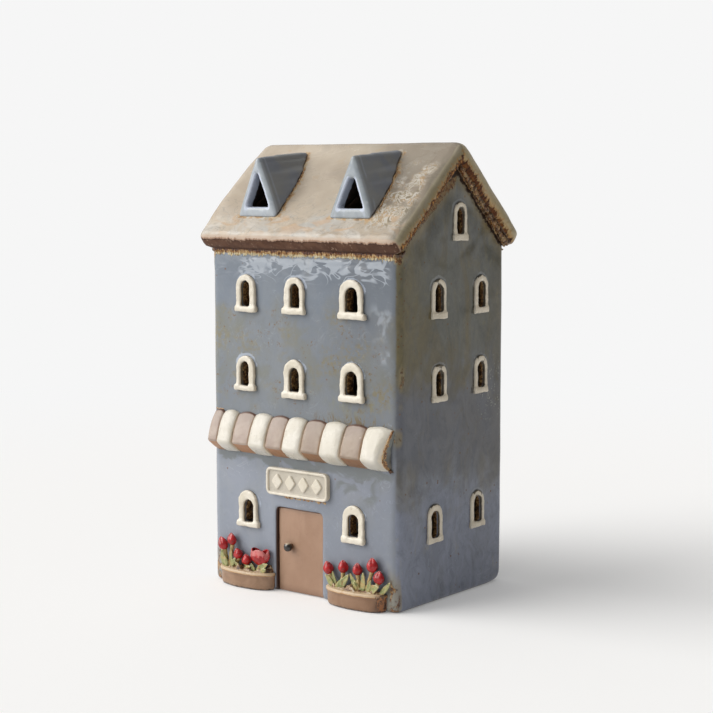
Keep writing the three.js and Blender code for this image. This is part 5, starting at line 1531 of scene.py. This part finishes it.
# ------------------------------------------------------------------ sign, door, knob
me = remesh(node_mesh("sign_plaque"), 0.26, smooth=6)
p, n = co(me), normals(me)
out = -HALF_D - p[:, 1]
rim = out.max()
p = p + n * (0.10 * fbm(p, 4.0, 2, 61) + 0.05)[:, None]
set_co(me, p)
cavity(me, 10, 1.6)
put(me, "sunk", smoothstep(rim - 0.45, rim - 0.8, out) * (n[:, 1] < -0.3) * (p[:, 0] > SIGN[0] + 1.2) * (p[:, 0] < SIGN[1] - 1.2) * (p[:, 2] > SIGN[2] + 1.2) * (p[:, 2] < SIGN[3] - 1.2))
put(me, "foot", smoothstep(0.5, 0.0, -HALF_D - p[:, 1]))
piece("sign_plaque_glazed", me, CREAM, ["sign_plaque"])

me = remesh(node_mesh("front_door"), 0.5, smooth=3)
p, n = co(me), normals(me)
p = p + n * (0.10 * fbm(p, 12.0, 2, 71))[:, None]
set_co(me, p)
cavity(me, 6)
piece("front_door_stained", me, DOOR_M, ["front_door"])

KNOB = (-7.5, 21.1, 2.0)
prof = [(0.0, 0.05), (1.1, 0.0), (1.5, -0.3), (1.50, -0.6), (1.35, -0.85), (1.5, -1.1), (1.8, -1.4), (2.0, -1.9), (2.0, -2.5), (1.8, -3.1), (1.3, -3.6), (0.65, -3.85), (0.0, -3.9)]
prof = spline(prof[0:], 40)
rings = []
for r, y in prof[1:-1]:
    rings.append([(KNOB[0] + max(r, 0.02) * math.cos(2 * math.pi * q / 28), -HALF_D + DOOR_SUNK + y, KNOB[1] + max(r, 0.02) * math.sin(2 * math.pi * q / 28)) for q in range(28)])
me = loft(rings)
put(me, "foot", smoothstep(-1.2, -0.4, co(me)[:, 1] + HALF_D - DOOR_SUNK))
piece("door_knob_glazed", me, BLACK, ["door_knob"])

# ------------------------------------------------------------------ flower troughs
for tag, (x0, x1) in PLANTERS.items():
    node = f"planter_{tag}"
    me = remesh(node_mesh(node), 0.42, smooth=6)
    p, n = co(me), normals(me)
    p = p + n * 0.08
    front = smoothstep(0.3, 1.5, -HALF_D - p[:, 1])
    top = smoothstep(PLANTER_TOP - 2.2, PLANTER_TOP - 1.0, p[:, 2])
    p = p + n * (front * (0.20 * fbm(p, 8.0, 2, 81) + 0.06 * fbm(p, 2.5, 2, 82)) + top * front * (0.12 + 0.22 * fbm(p, 4.5, 2, 83)))[:, None]
    p[:, 2] = np.where(p[:, 2] < 1.2, p[:, 2] * 0.85, p[:, 2])
    p[:, 2] = np.maximum(p[:, 2], 0.05)
    set_co(me, p)
    cavity(me, 10)
    put(me, "lip", smoothstep(PLANTER_TOP - 1.5, PLANTER_TOP - 0.7, p[:, 2]))
    put(me, "foot", smoothstep(1.0, 0.0, -HALF_D - p[:, 1]))
    piece(node + "_stained", me, POT, [node])

# ------------------------------------------------------------------ tulips
def bud_mesh(r, h, lean, x, z, seed, open_flower=False):
    """Closed bud of three overlapping petals; an open one spreads into three points."""
    nu, nv = 26, 42
    verts, tips = [], []
    depth = min(1.0, 2.2 / r)
    for a in range(nu + 1):
        u = a / nu
        for b in range(nv):
            th = 2 * math.pi * b / nv
            petal = abs(math.cos(1.5 * (th + 0.35 * seed)))  # 1 at a petal's middle, 0 between two
            if open_flower:
                rad = r * (0.42 + 0.74 * math.sin(min(1, u * 1.45) * math.pi / 2)) * (0.92 + 0.12 * petal) * (1.0 - 0.10 * max(0.0, u - 0.7) / 0.3)
                zz = -h / 2 + h * (u ** 1.15) * (0.74 + 0.26 * petal ** 0.9)
            else:
                rad = r * max(0.0, math.sin(math.pi * (0.06 + 0.94 * u) ** 0.86)) ** 0.72 * (0.90 + 0.12 * petal)
                zz = -h / 2 + h * u * (0.93 + 0.09 * petal)
            verts.append((rad * math.cos(th), rad * math.sin(th) * depth, zz))
            tips.append(min(1.1, u * 1.3) if open_flower else u)
    if open_flower:  # inner wall of the cup, back down to its bottom
        for a in range(nu, -1, -2):
            u = a / nu
            for b in range(nv):
                th = 2 * math.pi * b / nv
                petal = abs(math.cos(1.5 * (th + 0.35 * seed)))
                rad = max(0.1, r * (0.42 + 0.74 * math.sin(min(1, u * 1.45) * math.pi / 2)) * (0.92 + 0.12 * petal) * (1.0 - 0.10 * max(0.0, u - 0.7) / 0.3) - 0.8)
                zz = -h / 2 + 1.2 + (h * (u ** 1.15) * (0.74 + 0.26 * petal ** 0.9)) * 0.86
                verts.append((rad * math.cos(th), rad * math.sin(th) * depth, zz))
                tips.append(u * 0.6)
    rows = len(verts) // nv
    rings = [verts[k * nv:(k + 1) * nv] for k in range(rows)]
    me = loft(rings)
    put(me, "tip", np.array(tips))
    rot = Matrix.Rotation(math.radians(lean), 4, "Y")
    me.transform(Matrix.Translation((x, FLOWER_Y, z)) @ rot)
    p = co(me)
    p = p + normals(me) * (0.06 * fbm(p, 1.5, 2, 90 + seed))[:, None]
    set_co(me, p)
    cavity(me, 5, 1.5)
    return me


for tag, rows in TULIPS.items():
    for i, (x, z, r, h, lean, foot) in enumerate(rows):
        me = bud_mesh(r * 1.07, h * 1.06, lean, x, z, i + (3 if tag == "right" else 0), open_flower=(tag == "left" and i == 4))
        node = f"tulip_{tag}_{i + 1}"
        piece(node + "_glazed", me, RED, [node])


# ------------------------------------------------------------------ stems, leaves, bed of clay
def tube_mesh(points, radius, sides=10):
    pts = spline(points, 16)
    tan = np.gradient(pts, axis=0)
    tan /= np.linalg.norm(tan, axis=1)[:, None]
    rings = []
    for k in range(len(pts)):
        ref = np.array([0, 1.0, 0])
        a = np.cross(tan[k], ref)
        a /= np.linalg.norm(a)
        b = np.cross(tan[k], a)
        r = radius * (1.0 - 0.15 * math.sin(k * 1.3))
        rings.append([pts[k] + (a * math.cos(t) + b * math.sin(t)) * r for t in np.linspace(0, 2 * math.pi, sides, endpoint=False)])
    return loft(rings)


def leaf_mesh(foot, tip, width, y, curl=0.6, bend=0.0, thick=0.5):
    """A fleshy leaf, cupped across and bent along, standing from foot to tip (x, z)."""
    foot, tip = np.array(foot, float), np.array(tip, float)
    d = tip - foot
    l = np.linalg.norm(d)
    d /= l
    nrm = np.array([-d[1], d[0]])
    nu, m = 15, 12
    rings = []
    for a in range(nu):
        u = a / (nu - 1)
        w = width / 2 * (math.sin(math.pi * min(1, (0.12 + 0.88 * u)) ** 0.9) ** 0.7) + 0.08
        if u > 0.97:
            w = 0.12
        c = foot + d * l * u + nrm * bend * math.sin(math.pi * u)
        yy = y - curl * u * u * 1.4
        ring = []
        for q in range(m):
            t = 2 * math.pi * q / m
            s, e = math.cos(t), math.sin(t)
            px, pz = c + nrm * w * s
            cup = -0.35 * w * (s * s)
            ring.append((px, yy + cup + thick * e * (0.4 + 0.6 * (1 - u)), pz))
        rings.append(ring)
    return loft(rings)


LEAVES = {
    "left": [
        ((-43.6, 8.0), (-44.6, 16.0), 2.6, -0.4, 0.4),
        ((-42.0, 8.0), (-42.6, 13.0), 2.0, -0.9, -0.2),
        ((-41.0, 8.0), (-38.8, 15.4), 1.9, -0.2, -0.3),
        ((-39.4, 8.0), (-36.0, 12.8), 2.2, -0.7, 0.3),
        ((-33.8, 8.0), (-37.0, 11.0), 1.9, -0.8, -0.2),
        ((-30.8, 8.0), (-27.0, 10.2), 1.9, -0.8, 0.2),
        ((-28.2, 8.0), (-31.4, 11.2), 1.5, -0.3, 0.1),
        ((-25.4, 8.0), (-26.8, 11.6), 1.7, -0.4, 0.1),
        ((-24.0, 7.7), (-16.9, 12.6), 2.9, -0.3, 0.5),
        ((-21.0, 7.8), (-17.6, 10.2), 2.0, -0.9, 0.2),
    ],
    "right": [
        ((20.6, 7.8), (16.9, 13.0), 2.5, -0.6, -0.3),
        ((21.8, 7.8), (20.2, 14.8), 1.8, 0.2, 0.2),
        ((22.4, 7.7), (29.8, 14.8), 3.5, -0.6, -0.5),
        ((24.6, 7.8), (26.0, 12.2), 2.0, -1.0, 0.2),
        ((35.4, 7.8), (30.4, 15.4), 2.6, -0.4, 0.4),
        ((36.6, 7.8), (37.4, 16.8), 2.4, -0.2, -0.2),
        ((34.0, 7.8), (33.0, 12.0), 1.8, -1.0, 0.1),
        ((39.8, 7.7), (46.2, 12.0), 3.7, -0.5, 0.6),
        ((39.6, 7.7), (42.2, 14.2), 1.9, -0.9, 0.2),
        ((45.4, 8.1), (51.2, 14.2), 2.3, 0.9, -0.2),
    ],
}
for tag, (x0, x1) in PLANTERS.items():
    stems, leaves = [], []
    for x, z, r, h, lean, foot in TULIPS[tag]:
        lr = math.radians(lean)
        e = np.array([x - math.sin(lr) * (h / 2 - 0.2), FLOWER_Y, z - math.cos(lr) * (h / 2 - 0.2)])
        f = np.array([foot, FLOWER_Y + 0.2, 7.6])
        mid = np.array([(f[0] * 0.6 + e[0] * 0.4), FLOWER_Y + 0.1, f[2] * 0.5 + e[2] * 0.5])
        stems.append(tube_mesh([f, mid, e], 0.85))
    for ft, tp, w, dy, bend in LEAVES[tag]:
        leaves.append(leaf_mesh(ft, tp, w, FLOWER_Y + dy, bend=bend, thick=0.62))
    stems = join(*stems)
    tree = bvh(stems)
    me = remesh(join(stems, *leaves), 0.26, smooth=3)
    p, n = co(me), normals(me)
    near = distance(tree, p, 1.2)
    p = p + n * (0.10 + 0.12 * fbm(p, 1.6, 2, 95))[:, None]
    set_co(me, p)
    cavity(me, 4, 1.5)
    put(me, "ochre", 0.12 + 0.58 * smoothstep(0.7, 0.2, near))
    piece(f"foliage_{tag}_glazed", me, GREEN, [f"foliage_{tag}"])

    # lumpy bed of clay between lip and wall
    c, half = (x0 + x1) / 2, (x1 - x0) / 2 - 0.9
    nu, nv = 110, 22
    verts, faces = [], []
    for a in range(nu):
        u = -math.cos(math.pi * a / (nu - 1))
        reach = (PLANTER_OUT - 0.9) * max(0.0, 1 - abs(u) ** 2.3) ** (1 / 2.3)
        for b in range(nv):
            v = b / (nv - 1)
            verts.append((c + half * u, -HALF_D + 0.3 - (reach + 0.3) * v, 0.0))
    verts = np.array(verts)
    lump = 1.1 + 1.7 * fbm(verts, 3.0, 3, 97)
    # heaps of loose clay
    for hx, w, tall in ((-18.6, 2.0, 2.4), (-33.0, 2.6, 1.0), (31.0, 2.4, 2.6), (21.0, 2.0, 1.2), (44.6, 2.0, 0.8)):
        lump = lump + tall * np.exp(-(((verts[:, 0] - hx) / w) ** 2)) * (0.75 + 0.9 * fbm(verts, 1.6, 2, 99))
    inside = np.array([min(b, nv - 1 - b) for a in range(nu) for b in range(nv)]) / 3.0
    verts[:, 2] = PLANTER_TOP - 0.5 + np.clip(lump, 0.1, 4.4) * np.clip(inside, 0, 1)
    n0 = len(verts)
    low = verts.copy()
    low[:, 2] = PLANTER_TOP - 1.2
    verts = np.vstack([verts, low])
    for a in range(nu - 1):
        for b in range(nv - 1):
            q = a * nv + b
            faces.append((q, q + nv, q + nv + 1, q + 1))
            faces.append((n0 + q, n0 + q + 1, n0 + q + nv + 1, n0 + q + nv))
    rim = [b for b in range(nv)] + [a * nv + nv - 1 for a in range(1, nu)] + [(nu - 1) * nv + b for b in range(nv - 2, -1, -1)] + [a * nv for a in range(nu - 2, 0, -1)]
    for i in range(len(rim)):
        a, b = rim[i], rim[(i + 1) % len(rim)]
        faces.append((a, b, n0 + b, n0 + a))
    me = new_mesh("bed", verts, faces)
    bm = bmesh.new()
    bm.from_mesh(me)
    bmesh.ops.remove_doubles(bm, verts=bm.verts, dist=1e-4)
    bmesh.ops.recalc_face_normals(bm, faces=bm.faces)
    bm.to_mesh(me)
    bm.free()
    piece(f"planter_bed_{tag}", me, SOIL)

# ------------------------------------------------------------------ tealight
T_Z, T_R, T_H = FLOOR_TOP + 0.1, 19.0, 16.0


def turned(profile, n=96, wave=None):
    rings = []
    for k, (r, z) in enumerate(profile):
        ring = []
        for q in range(n):
            t = 2 * math.pi * q / n
            rr = max(r, 0.02) + (wave(r, z, t) if wave else 0)
            ring.append((rr * math.cos(t), rr * math.sin(t), T_Z + z))
        rings.append(ring)
    return loft(rings)


flute = lambda r, z, t: 0.10 * math.cos(32 * t) if 1.2 < z < 14.0 and r > 17 else 0.0
cup = [(0, 0), (10, 0.0), (16.8, 0.0), (17.9, 0.15), (18.45, 0.7), (18.55, 1.6), (18.6, 5), (18.62, 10), (18.62, 14.4), (18.7, 15.0), (18.95, 15.3), (19.0, 15.65), (18.85, 15.95), (18.55, 16.0), (18.25, 15.85), (18.15, 15.4), (18.12, 14.0), (18.1, 8), (18.05, 1.2), (17.6, 0.6), (10, 0.5), (0, 0.5)]
piece("tealight_cup_foil", turned(cup, 128, flute), FOIL, ["tealight_cup"], body="tealight", sharp=60)
wax = [(0.9, 0.7), (17.6, 0.7), (17.85, 1.5), (17.9, 12.6), (17.7, 13.3), (17.0, 13.25), (14, 13.0), (9, 12.85), (4, 12.7), (2.0, 12.75), (1.25, 13.0), (0.95, 12.6)]
piece("tealight_wax_poured", turned(wax + [wax[0]], 96, lambda r, z, t: 0.05 * math.sin(3 * t + z)), WAX, ["tealight_wax"], body="tealight")
wick = [(0.0, 0.65), (0.9, 0.65)] + [(0.88 - 0.05 * (k % 2), 1 + k * 0.5) for k in range(33)] + [(0.8, 17.6), (0.5, 18.3), (0.0, 18.4)]
piece("tealight_wick_braided", turned(wick, 16), WICK, ["tealight_wick"], body="tealight")

# ------------------------------------------------------------------ floor, light, camera
BACKDROP = 0.922
me = bpy.data.meshes.new("floor")
bm = bmesh.new()
bmesh.ops.create_circle(bm, cap_ends=True, radius=6.0, segments=96)
bm.to_mesh(me)
bm.free()
floor = bpy.data.objects.new("studio_floor", me)
bpy.context.scene.collection.objects.link(floor)
mat = bpy.data.materials.new("studio_floor")
mat.use_nodes = True
fb = mat.node_tree.nodes["Principled BSDF"]
FLOOR_ALBEDO = 0.757
fb.inputs["Base Color"].default_value = (FLOOR_ALBEDO, FLOOR_ALBEDO, FLOOR_ALBEDO, 1)
fb.inputs["Roughness"].default_value = 0.9
fb.inputs["Emission Color"].default_value = (1, 1, 1, 1)
fb.inputs["Emission Strength"].default_value = 0.184
fb.inputs["Specular IOR Level"].default_value = 0.0
# the floor runs into the backdrop without a line
ft = mat.node_tree
tcf = ft.nodes.new("ShaderNodeTexCoord")
far = ft.nodes.new("ShaderNodeVectorMath")
far.operation = "LENGTH"
ft.links.new(tcf.outputs["Object"], far.inputs[0])
fade = ft.nodes.new("ShaderNodeMapRange")
fade.interpolation_type = "SMOOTHSTEP"
fade.inputs["From Min"].default_value = 0.22
fade.inputs["From Max"].default_value = 0.75
ft.links.new(far.outputs["Value"], fade.inputs["Value"])
glow = ft.nodes.new("ShaderNodeEmission")
glow.inputs["Color"].default_value = (1, 1, 1, 1)
glow.inputs["Strength"].default_value = BACKDROP
blend = ft.nodes.new("ShaderNodeMixShader")
ft.links.new(fade.outputs[0], blend.inputs[0])
ft.links.new(fb.outputs[0], blend.inputs[1])
ft.links.new(glow.outputs[0], blend.inputs[2])
ft.links.new(blend.outputs[0], ft.nodes["Material Output"].inputs[0])
me.materials.append(mat)

scene = bpy.context.scene
scene.view_settings.view_transform = "Standard"
scene.view_settings.look = "None"

world = bpy.data.worlds.new("studio")
scene.world = world
world.use_nodes = True
wt = world.node_tree
wt.nodes.clear()


def wnode(kind, **props):
    n = wt.nodes.new(kind)
    for k, v in props.items():
        setattr(n, k, v)
    return n


tc = wnode("ShaderNodeTexCoord")
sep = wnode("ShaderNodeSeparateXYZ")
wt.links.new(tc.outputs["Generated"], sep.inputs[0])


def wmath(op, a, b=None, clamp=False):
    n = wnode("ShaderNodeMath", operation=op, use_clamp=clamp)
    for s, v in ((n.inputs[0], a), (n.inputs[1], b)):
        if v is None:
            continue
        if isinstance(v, bpy.types.NodeSocket):
            wt.links.new(v, s)
        else:
            s.default_value = v
    return n.outputs[0]


def wdot(d):
    d = Vector(d).normalized()
    out = wmath("MULTIPLY", sep.outputs[0], d.x)
    out = wmath("ADD", out, wmath("MULTIPLY", sep.outputs[1], d.y))
    return wmath("ADD", out, wmath("MULTIPLY", sep.outputs[2], d.z))


def wstep(x, lo, hi, a, b):
    n = wnode("ShaderNodeMapRange", interpolation_type="SMOOTHSTEP")
    wt.links.new(x, n.inputs["Value"])
    for k, v in (("From Min", lo), ("From Max", hi), ("To Min", a), ("To Max", b)):
        n.inputs[k].default_value = v
    return n.outputs[0]


# pale room: brighter to the left and above, dim to the right
level = wstep(wdot((-0.85, -0.35, 0.35)), -0.9, 0.9, 0.145, 0.62)
soft = wstep(wdot((-0.62, -0.78, 0.25)), 0.90, 0.96, 0.0, 1.6)
level = wmath("ADD", level, soft)
cam_ray = wnode("ShaderNodeLightPath").outputs["Is Camera Ray"]
bg_a = wnode("ShaderNodeBackground")
wt.links.new(level, bg_a.inputs["Strength"])
bg_a.inputs["Color"].default_value = (1.0, 0.99, 0.975, 1)
bg_b = wnode("ShaderNodeBackground")
bg_b.inputs["Color"].default_value = (1, 1, 1, 1)
bg_b.inputs["Strength"].default_value = BACKDROP
mixer = wnode("ShaderNodeMixShader")
wt.links.new(cam_ray, mixer.inputs[0])
wt.links.new(bg_a.outputs[0], mixer.inputs[1])
wt.links.new(bg_b.outputs[0], mixer.inputs[2])
out = wnode("ShaderNodeOutputWorld")
wt.links.new(mixer.outputs[0], out.inputs[0])


def sun(name, az, el, energy, angle, color=(1, 1, 1)):
    """A soft distant light; azimuth is measured from the front towards +X."""
    data = bpy.data.lights.new(name, "SUN")
    data.energy = energy
    data.angle = math.radians(angle)
    data.color = color
    ob = bpy.data.objects.new(name, data)
    scene.collection.objects.link(ob)
    a, e = math.radians(az), math.radians(el)
    frm = Vector((math.sin(a) * math.cos(e), -math.cos(a) * math.cos(e), math.sin(e)))
    ob.rotation_euler = frm.to_track_quat("Z", "Y").to_euler()
    return ob


sun("key", -48, 36, 2.5, 58, (1.0, 0.985, 0.96))

AZ, EL, DIST, F_PX = math.radians(38.3), math.radians(6.15), 0.766, 1673.0
target = Vector((-0.00085, 0.0, 0.1037))
back = Vector((math.sin(AZ) * math.cos(EL), -math.cos(AZ) * math.cos(EL), math.sin(EL)))
cam_data = bpy.data.cameras.new("camera")
cam_data.sensor_width = 36.0
cam_data.lens = 36.0 * F_PX / 713.0
cam_data.clip_start = 0.01
cam_data.clip_end = 50.0
cam = bpy.data.objects.new("camera", cam_data)
scene.collection.objects.link(cam)
cam.location = target + back * DIST
cam.rotation_euler = (-back).to_track_quat("-Z", "Y").to_euler()
scene.camera = cam
